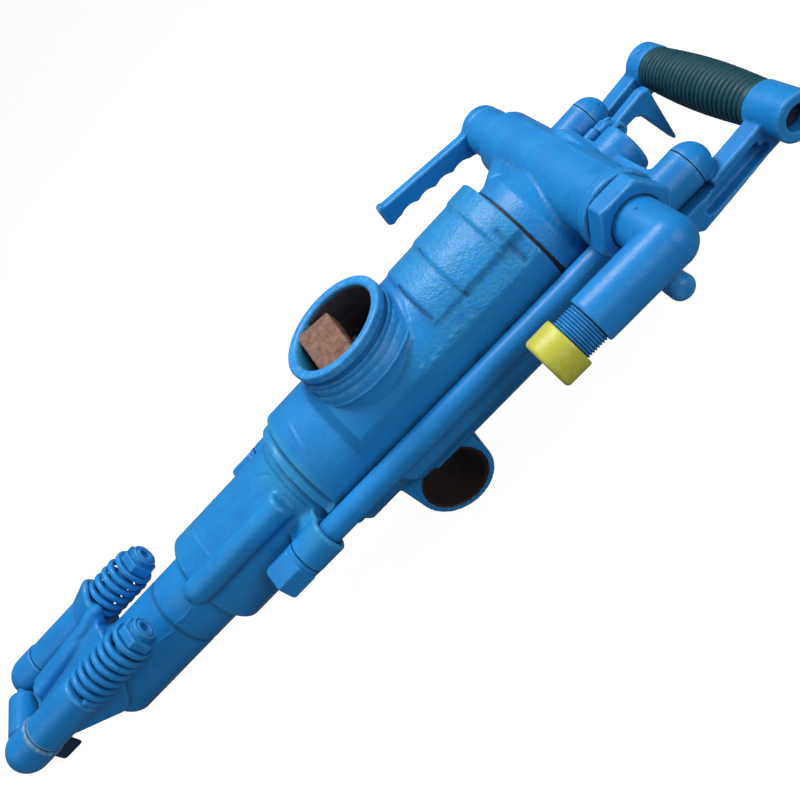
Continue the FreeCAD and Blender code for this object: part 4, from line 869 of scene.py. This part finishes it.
# a flared lip round the far tube's rear end
sleeveRim = {
    "y": -36.0, "z": 32.0, "radius": 17.4, "wire": 0.0025, "from": 10, "to": 220, "step": 10,
    "rear": 263.0, "flare": 5.0, "length": 16.0, "rootRadius": 12.6, "sides": 12,
}
# the broad ridge that runs from the lip to the front
tongueRidge = {
    "route": [(268, -22, 39), (282, -17.5, 37.5), (306, -15.5, 37), (332, -13.5, 36)], "radius": 0.0056, "sides": 24,
}


def onSleeve(settings, along, radius, turn):
    return atDrill(along, settings["y"] + radius * math.cos(turn), settings["z"] + radius * math.sin(turn))


def frontExtras(work):
    addBall(work, atDrill(*ribEnd["end"]), ribEnd["ball"])
    addRod(work, atDrill(*ribEnd["start"]), atDrill(*ribEnd["end"]), ribEnd["radius"])
    wire = sleeveRim["wire"]
    sides = sleeveRim["sides"]
    last = None
    for angle in range(sleeveRim["from"], sleeveRim["to"], sleeveRim["step"]):
        turn = math.radians(angle)
        rear = sleeveRim["rear"] + sleeveRim["flare"] * abs(math.cos(turn))
        spot = onSleeve(sleeveRim, rear, sleeveRim["radius"], turn)
        root = onSleeve(sleeveRim, rear + sleeveRim["length"], sleeveRim["rootRadius"], turn)
        addRod(work, spot, root, wire, sides=sides)
        addBall(work, spot, wire)
        if last:
            addRod(work, last, spot, wire, sides=sides)
        last = spot
    route = [atDrill(*spot) for spot in tongueRidge["route"]]
    for first, second in zip(route, route[1:]):
        addRod(work, first, second, tongueRidge["radius"], sides=tongueRidge["sides"])
        addBall(work, second, tongueRidge["radius"])
    addBall(work, route[0], tongueRidge["radius"])


def frontRadii(points, hollowRadius, edgeRadius):
    x, y, z = onDrill(points).T
    hollowRadius[x < 99] = 0.0025
    edgeRadius[x < 99] = 0.0016
    rib = (x > 99) & (x < 192) & (y < 34) & (z > 26)
    hollowRadius[rib] = 0.016
    groove = (x > 219.5) & (x < 224.5)
    hollowRadius[groove] = 0.0006
    edgeRadius[groove] = 0.0006
    hollowRadius[(x > 262) & (z > 27)] = 0.0026
    tubes = (x > 326) & (np.abs(y) > 17)
    edgeRadius[tubes] = 0.0010


def frontMarks(points, values):
    x, y, z = onDrill(points).T
    values["rough"] += 0.25 * boxMask(points, (90, -40, 0), (190, 40, 60), 10.0)
    values["tint"] += 0.5 * boxMask(points, (84, 8, -30), (102, 62, 40), 10.0)
    # painted shade in the ring groove
    groove = np.exp(-((x - 222.0) / 1.3) ** 2) * (np.hypot(y, z) < 30)
    values["soot"] += groove * 0.55
    ring = np.exp(-((x - 330.6) / 1.0) ** 2) * (y > 14) * (np.hypot(y - 33, z - 36) < 15.5)
    values["scrape"] += ring * 0.6


castPiece("frontCasting", "front_head", "root", frontSettings, frontExtras, None, frontRadii, frontMarks,
          frontLines)


# the rear casting
backSettings = dict(castSettings, voxel=0.00105, hollow=0.0085, rounds=90, rough=0.2, relief=0.00014,
                    hollowScale=0.007)
# a pale raised line across the rear barrel: a painted highlight along a ridge, with some wear
backLines = [
    ((-176.0, -40.0, 41.5), (-176.5, 60.0, 41.0), 2.0, 0.5, 0.25),
]


# webs that carry the far side of the throttle barrel: start, end and radius
backWebs = [((-133, -18, 34), (-158, -62, 20), 0.012), ((-137, 0, 34), (-160, -74, 22), 0.010)]


def backExtras(work):
    for start, end, radius in backWebs:
        addRod(work, atDrill(*start), atDrill(*end), radius)


def backRadii(points, hollowRadius, edgeRadius):
    x, y, z = onDrill(points).T
    hollowRadius[x > -126] = 0.0015
    edgeRadius[x > -126] = 0.0012
    hollowRadius[y > 65.5] = 0.0012
    edgeRadius[y > 65.5] = 0.0010
    ends = (x < -205) & (np.abs(y) > 40)
    edgeRadius[ends] = 0.0009


def backMarks(points, values):
    values["rough"] += 0.3 * boxMask(points, (-150, -50, 0), (-122, 50, 60), 10.0)


castPiece("backCasting", "back_head", "root", backSettings, backExtras, None, backRadii, backMarks, backLines)


# handle, grip and trigger
handleSettings = dict(castSettings, voxel=0.00085, hollow=0.0032, edge=0.0015, rounds=60, reliefScale=260.0,
                      edgeScale=0.0015)
handleSlot = {"front": (-205, -24.0), "rear": (-248.0, -20.6), "radius": 3.9, "depth": 8.0, "face": 70.5, "past": 2.0}


def addSlot(work, side):
    outline = slotOutline(handleSlot["front"], handleSlot["rear"], handleSlot["radius"])
    inner, outer = handleSlot["face"] - handleSlot["depth"], handleSlot["face"] + handleSlot["past"]
    addPrism(work, outline, *sorted((side * inner, side * outer)))


def nearSlot(work):
    addSlot(work, 1)


def farSlot(work):
    addSlot(work, -1)


# two small dark pits: painted shade in small holes of the far foot
farHandleLines = [
    ((-220.5, -48.3, 5.9), (-220.6, -48.3, 5.9), 0.8, -1.2, -0.9),
    ((-266.5, -60.0, 5.0), (-264.0, -60.5, 5.0), 0.8, -0.8, -0.9),
]
castPiece("handleNear", "handle_left", "root", handleSettings, None, nearSlot)
castPiece("handleFar", "handle_right", "root", handleSettings, None, farSlot, lines=farHandleLines)

# the thin dark joint between each stub and its handle foot
footRing = {
    "profile": [(-212.4, 12.0, 0), (-212.4, 13.9, 0.3), (-211.0, 14.0, 0.2), (-210.8, 13.3, 0.1), (-210.5, 13.3, 0.1),
                (-210.3, 14.0, 0.2), (-208.6, 13.9, 0.3), (-208.6, 12.0, 0), (-212.4, 12.0, 0)],
    "side": 56, "sides": 96, "groove": -210.65, "grooveHalf": 0.3,
}


def footRingMarks(points, values):
    values["soot"] += np.abs(onDrill(points)[:, 0] - footRing["groove"]) < footRing["grooveHalf"]


for ringName, ringSide, ringNodes in (("footRingNear", footRing["side"], ["foot_gaskets"]),
                                      ("footRingFar", -footRing["side"], [])):
    lathe(ringName, footRing["profile"], atDrill(0, ringSide, 0), ahead, footRing["sides"], finePaint, "root",
          ringNodes, footRingMarks)

gripSettings = {
    "half": 52.7, "bore": 8.0, "radius": 13.3, "bulge": 2.2, "ribs": 23, "depth": 1.5, "collar": 4.2,
    "centre": (-266, 0, -10), "sides": 120, "seamAngle": 52.0, "seamWidth": 2.5,
}


def gripProfile(settings):
    half = settings["half"]
    collar = settings["collar"]
    profile = [(-half, settings["bore"], 0), (-half, 13.6, 0.6), (collar - half, 13.8, 0.6)]
    pitch = 2 * (half - collar) / settings["ribs"]
    for rib in range(settings["ribs"]):
        start = collar - half + rib * pitch
        for share, height in ((0.06, -1.0), (0.3, 0.0), (0.7, 0.0), (0.94, -1.0)):
            along = start + share * pitch
            swell = settings["bulge"] * math.cos(along / half * math.pi / 2)
            profile.append((along, settings["radius"] + swell + height * settings["depth"] + 0.5, 0.5))
    profile += [(half - collar, 13.8, 0.6), (half, 13.6, 0.6), (half, settings["bore"], 0)]
    return profile


def gripMarks(points, values):
    # a thin moulding line along the rubber, on the side towards the drill
    x, y, z = onDrill(points).T
    angle = np.degrees(np.arctan2(z - gripSettings["centre"][2], x - gripSettings["centre"][0]))
    seam = np.exp(-((angle - gripSettings["seamAngle"]) / gripSettings["seamWidth"]) ** 2)
    values["edge"] = np.maximum(values["edge"] * 0.8, seam)


lathe("gripSleeve", gripProfile(gripSettings), atDrill(*gripSettings["centre"]), aside, gripSettings["sides"],
      gripRubber, "root", ["grip"], gripMarks)

leverSettings = dict(castSettings, voxel=0.00072, edge=0.0024, rounds=90, relief=0.0)
castPiece("triggerLever", "trigger", "trigger", dict(leverSettings, voxel=0.0006))


# throttle lever, elbow and its nut
nutSettings = dict(leverSettings, voxel=0.0008, hollow=0.0022, edge=0.0014, rounds=50, edgeScale=0.0014)
elbowSettings = dict(leverSettings, voxel=0.00085, hollow=0.006, edge=0.0030, relief=0.00010)
# a small dark pit: painted shade in a hole
elbowLines = [((-165.0, 97.0, 38.8), (-165.1, 97.0, 38.8), 1.0, -0.4, -1.0)]
threadSettings = {
    "start": -107.2, "end": -77.0, "root": 12.1, "crest": 13.2, "pitch": 1.8, "bore": 9.5,
    "side": 117, "height": 23.5, "sides": 72,
}


def elbowTrim(placed):
    return placed[:, 0] > threadSettings["start"] + 0.2


def threadProfile(settings):
    profile = [(settings["start"] - 1.0, 14.9, 0), (settings["start"], 14.7, 0.3),
               (settings["start"] + 0.3, settings["root"], 0.2)]
    count = int((settings["end"] - settings["start"]) / settings["pitch"]) - 1
    for turn in range(count):
        along = settings["start"] + 0.6 + turn * settings["pitch"]
        profile += [(along, settings["root"], 0.25), (along + 0.7, settings["crest"], 0.25),
                    (along + 1.1, settings["crest"], 0.25), (along + 1.75, settings["root"], 0.25)]
    profile += [(settings["end"] - 1.0, settings["root"], 0.3), (settings["end"], settings["root"] - 0.8, 0.3),
                (settings["end"], settings["bore"], 0.3), (settings["start"] - 4.0, settings["bore"], 0)]
    return profile


castPiece("leverCasting", "throttle_lever", "throttle", leverSettings)
castPiece("elbowNut", "swivel_nut", "root", nutSettings)
castPiece("elbowCasting", "inlet_elbow", "elbow", elbowSettings, lines=elbowLines, trim=elbowTrim)
inletAxis = atDrill(0, threadSettings["side"], threadSettings["height"])
lathe("elbowThread", threadProfile(threadSettings), inletAxis, ahead, threadSettings["sides"], finePaint, "elbow",
      [])

capProfile = [(-91.6, 13.5, 0), (-92.0, 13.6, 0.3), (-92.0, 16.0, 0.8), (-90.4, 16.3, 0.6), (-75.6, 16.2, 1.0),
              (-74.0, 14.8, 1.0), (-74.0, 10.0, 0.8), (-74.5, 9.2, 0.4), (-74.5, 0.01, 0)]
lathe("capShell", capProfile, inletAxis, ahead, 96, yellowPlastic, "cap", ["thread_cap"])


# bolts, nuts and springs
boltSettings = dict(leverSettings, voxel=0.0010, hollow=0.0022, edge=0.0018, rounds=50, edgeScale=0.0016)
smallSettings = dict(leverSettings, voxel=0.00062, hollow=0.0018, edge=0.0011, rounds=45, edgeScale=0.0011)
seamSettings = {
    "near": (33, 36), "far": (-36, 32), "rear": 331.15, "front": 333.0, "radius": 0.0155,
    "scrapeAt": 332.2, "scrapeWidth": 1.0, "scrapeOut": 12,
}


def seamMarks(points, values):
    # broken paint round the near bolt's seam
    x, y, z = onDrill(points).T
    near = (y > 0) & (np.hypot(y - seamSettings["near"][0], z - seamSettings["near"][1]) > seamSettings["scrapeOut"])
    band = np.exp(-((x - seamSettings["scrapeAt"]) / seamSettings["scrapeWidth"]) ** 2)
    values["scrape"] += near * band * (0.45 + 0.35 * np.sin(y * 0.9) * np.cos(z * 1.3))


def addSeam(work, side):
    rear, front = (atDrill(seamSettings[end], *seamSettings[side]) for end in ("rear", "front"))
    addRod(work, rear, front, seamSettings["radius"])


def nearSeam(work):
    addSeam(work, "near")


def farSeam(work):
    addSeam(work, "far")


castPiece("sideBoltNear", "side_bolt_left", "root", boltSettings)
castPiece("sideBoltFar", "side_bolt_right", "root", boltSettings)
for pieceName, nodeName, seam, seamValues in (
    ("retainerNear", "retainer_bolt_left", nearSeam, seamMarks),
    ("retainerFar", "retainer_bolt_right", farSeam, seamMarks),
    ("retainerNuts", "retainer_nuts", None, None),
    ("springSeats", "spring_seats", None, None),
):
    castPiece(pieceName, nodeName, "retainer", smallSettings, seam, marks=seamValues, material=finePaint)


def forkMarks(points, values):
    x, y, z = onDrill(points).T
    # painted shade: the fork darkens towards its bottom, away from the light
    values["soot"] += np.clip((21.0 - z) / 5.0, 0.0, 0.93)


castPiece("forkCasting", "retainer_fork", "fork", dict(smallSettings, edge=0.0028, hollow=0.004), marks=forkMarks)

springSettings = {
    "springNear": {"node": "retainer_spring_left", "y": 33.0, "z": 36.0, "rear": 241.0, "front": 288.0,
                   "turns": 6.5, "startAngle": 200.0},
    "springFar": {"node": "retainer_spring_right", "y": -36.0, "z": 32.0, "rear": 234.0, "front": 272.0,
                  "turns": 5.0, "startAngle": 200.0},
}
springWire = {"radius": 2.45, "coil": 13.4, "dead": 0.8, "steps": 28, "sides": 14, "travel": 8.0}


def springPath(settings, wire):
    # closed end coils, with the open turns spread evenly between them
    low = settings["rear"] + wire["radius"] + 0.3
    high = settings["front"] - wire["radius"] - 0.3
    closed = wire["dead"] * wire["radius"] * 2.06
    opened = (high - low - 2 * closed) / (settings["turns"] - 2 * wire["dead"])
    count = int(settings["turns"] * wire["steps"])
    path = []
    for step in range(count + 1):
        turn = settings["turns"] * step / count
        along = low + closed / wire["dead"] * min(turn, wire["dead"])
        along += opened * min(max(turn - wire["dead"], 0.0), settings["turns"] - 2 * wire["dead"])
        along += closed / wire["dead"] * max(turn - settings["turns"] + wire["dead"], 0.0)
        angle = math.tau * turn + math.radians(settings["startAngle"])
        path.append(atDrill(along, settings["y"] + wire["coil"] * math.cos(angle),
                            settings["z"] + wire["coil"] * math.sin(angle)))
    return path


def sweepWire(name, path, radius, sides):
    work = bmesh.new()
    rows = []
    outward = None
    for place, spot in enumerate(path):
        run = (path[min(place + 1, len(path) - 1)] - path[max(place - 1, 0)]).normalized()
        outward = run.orthogonal() if outward is None else outward - run * outward.dot(run)
        outward.normalize()
        across = run.cross(outward)
        rows.append([work.verts.new(spot + (outward * math.cos(math.tau * step / sides)
                                            + across * math.sin(math.tau * step / sides)) * radius)
                     for step in range(sides)])
    for low, high in zip(rows, rows[1:]):
        for step in range(sides):
            after = (step + 1) % sides
            work.faces.new((low[step], low[after], high[after], high[step]))
    work.faces.new(rows[0][::-1])
    work.faces.new(rows[-1])
    bmesh.ops.recalc_face_normals(work, faces=work.faces)
    mesh = bpy.data.meshes.new(name)
    work.to_mesh(mesh)
    work.free()
    return mesh


for springName, settings in springSettings.items():
    springMesh = sweepWire(springName, springPath(settings, springWire), springWire["radius"] * millimetre,
                           springWire["sides"])
    spring = finishPiece(springName, springMesh, finePaint, "root", [settings["node"]])
    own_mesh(spring)
print("springs wound")


# regulator knob
knobSettings = {
    "profile": [(66.0, 5.6, 0), (75.5, 5.4, 1.2), (77.5, 8.2, 1.5), (90.0, 8.6, 2.6), (93.5, 5.0, 2.0),
                (93.8, 0.01, 0)],
    "centre": (-160, 0, -34), "sides": 48,
}
lathe("knobTurned", knobSettings["profile"], atDrill(*knobSettings["centre"]), aside, knobSettings["sides"],
      bluePaint, "regulator", ["regulator_knob"])

bpy.context.view_layer.update()
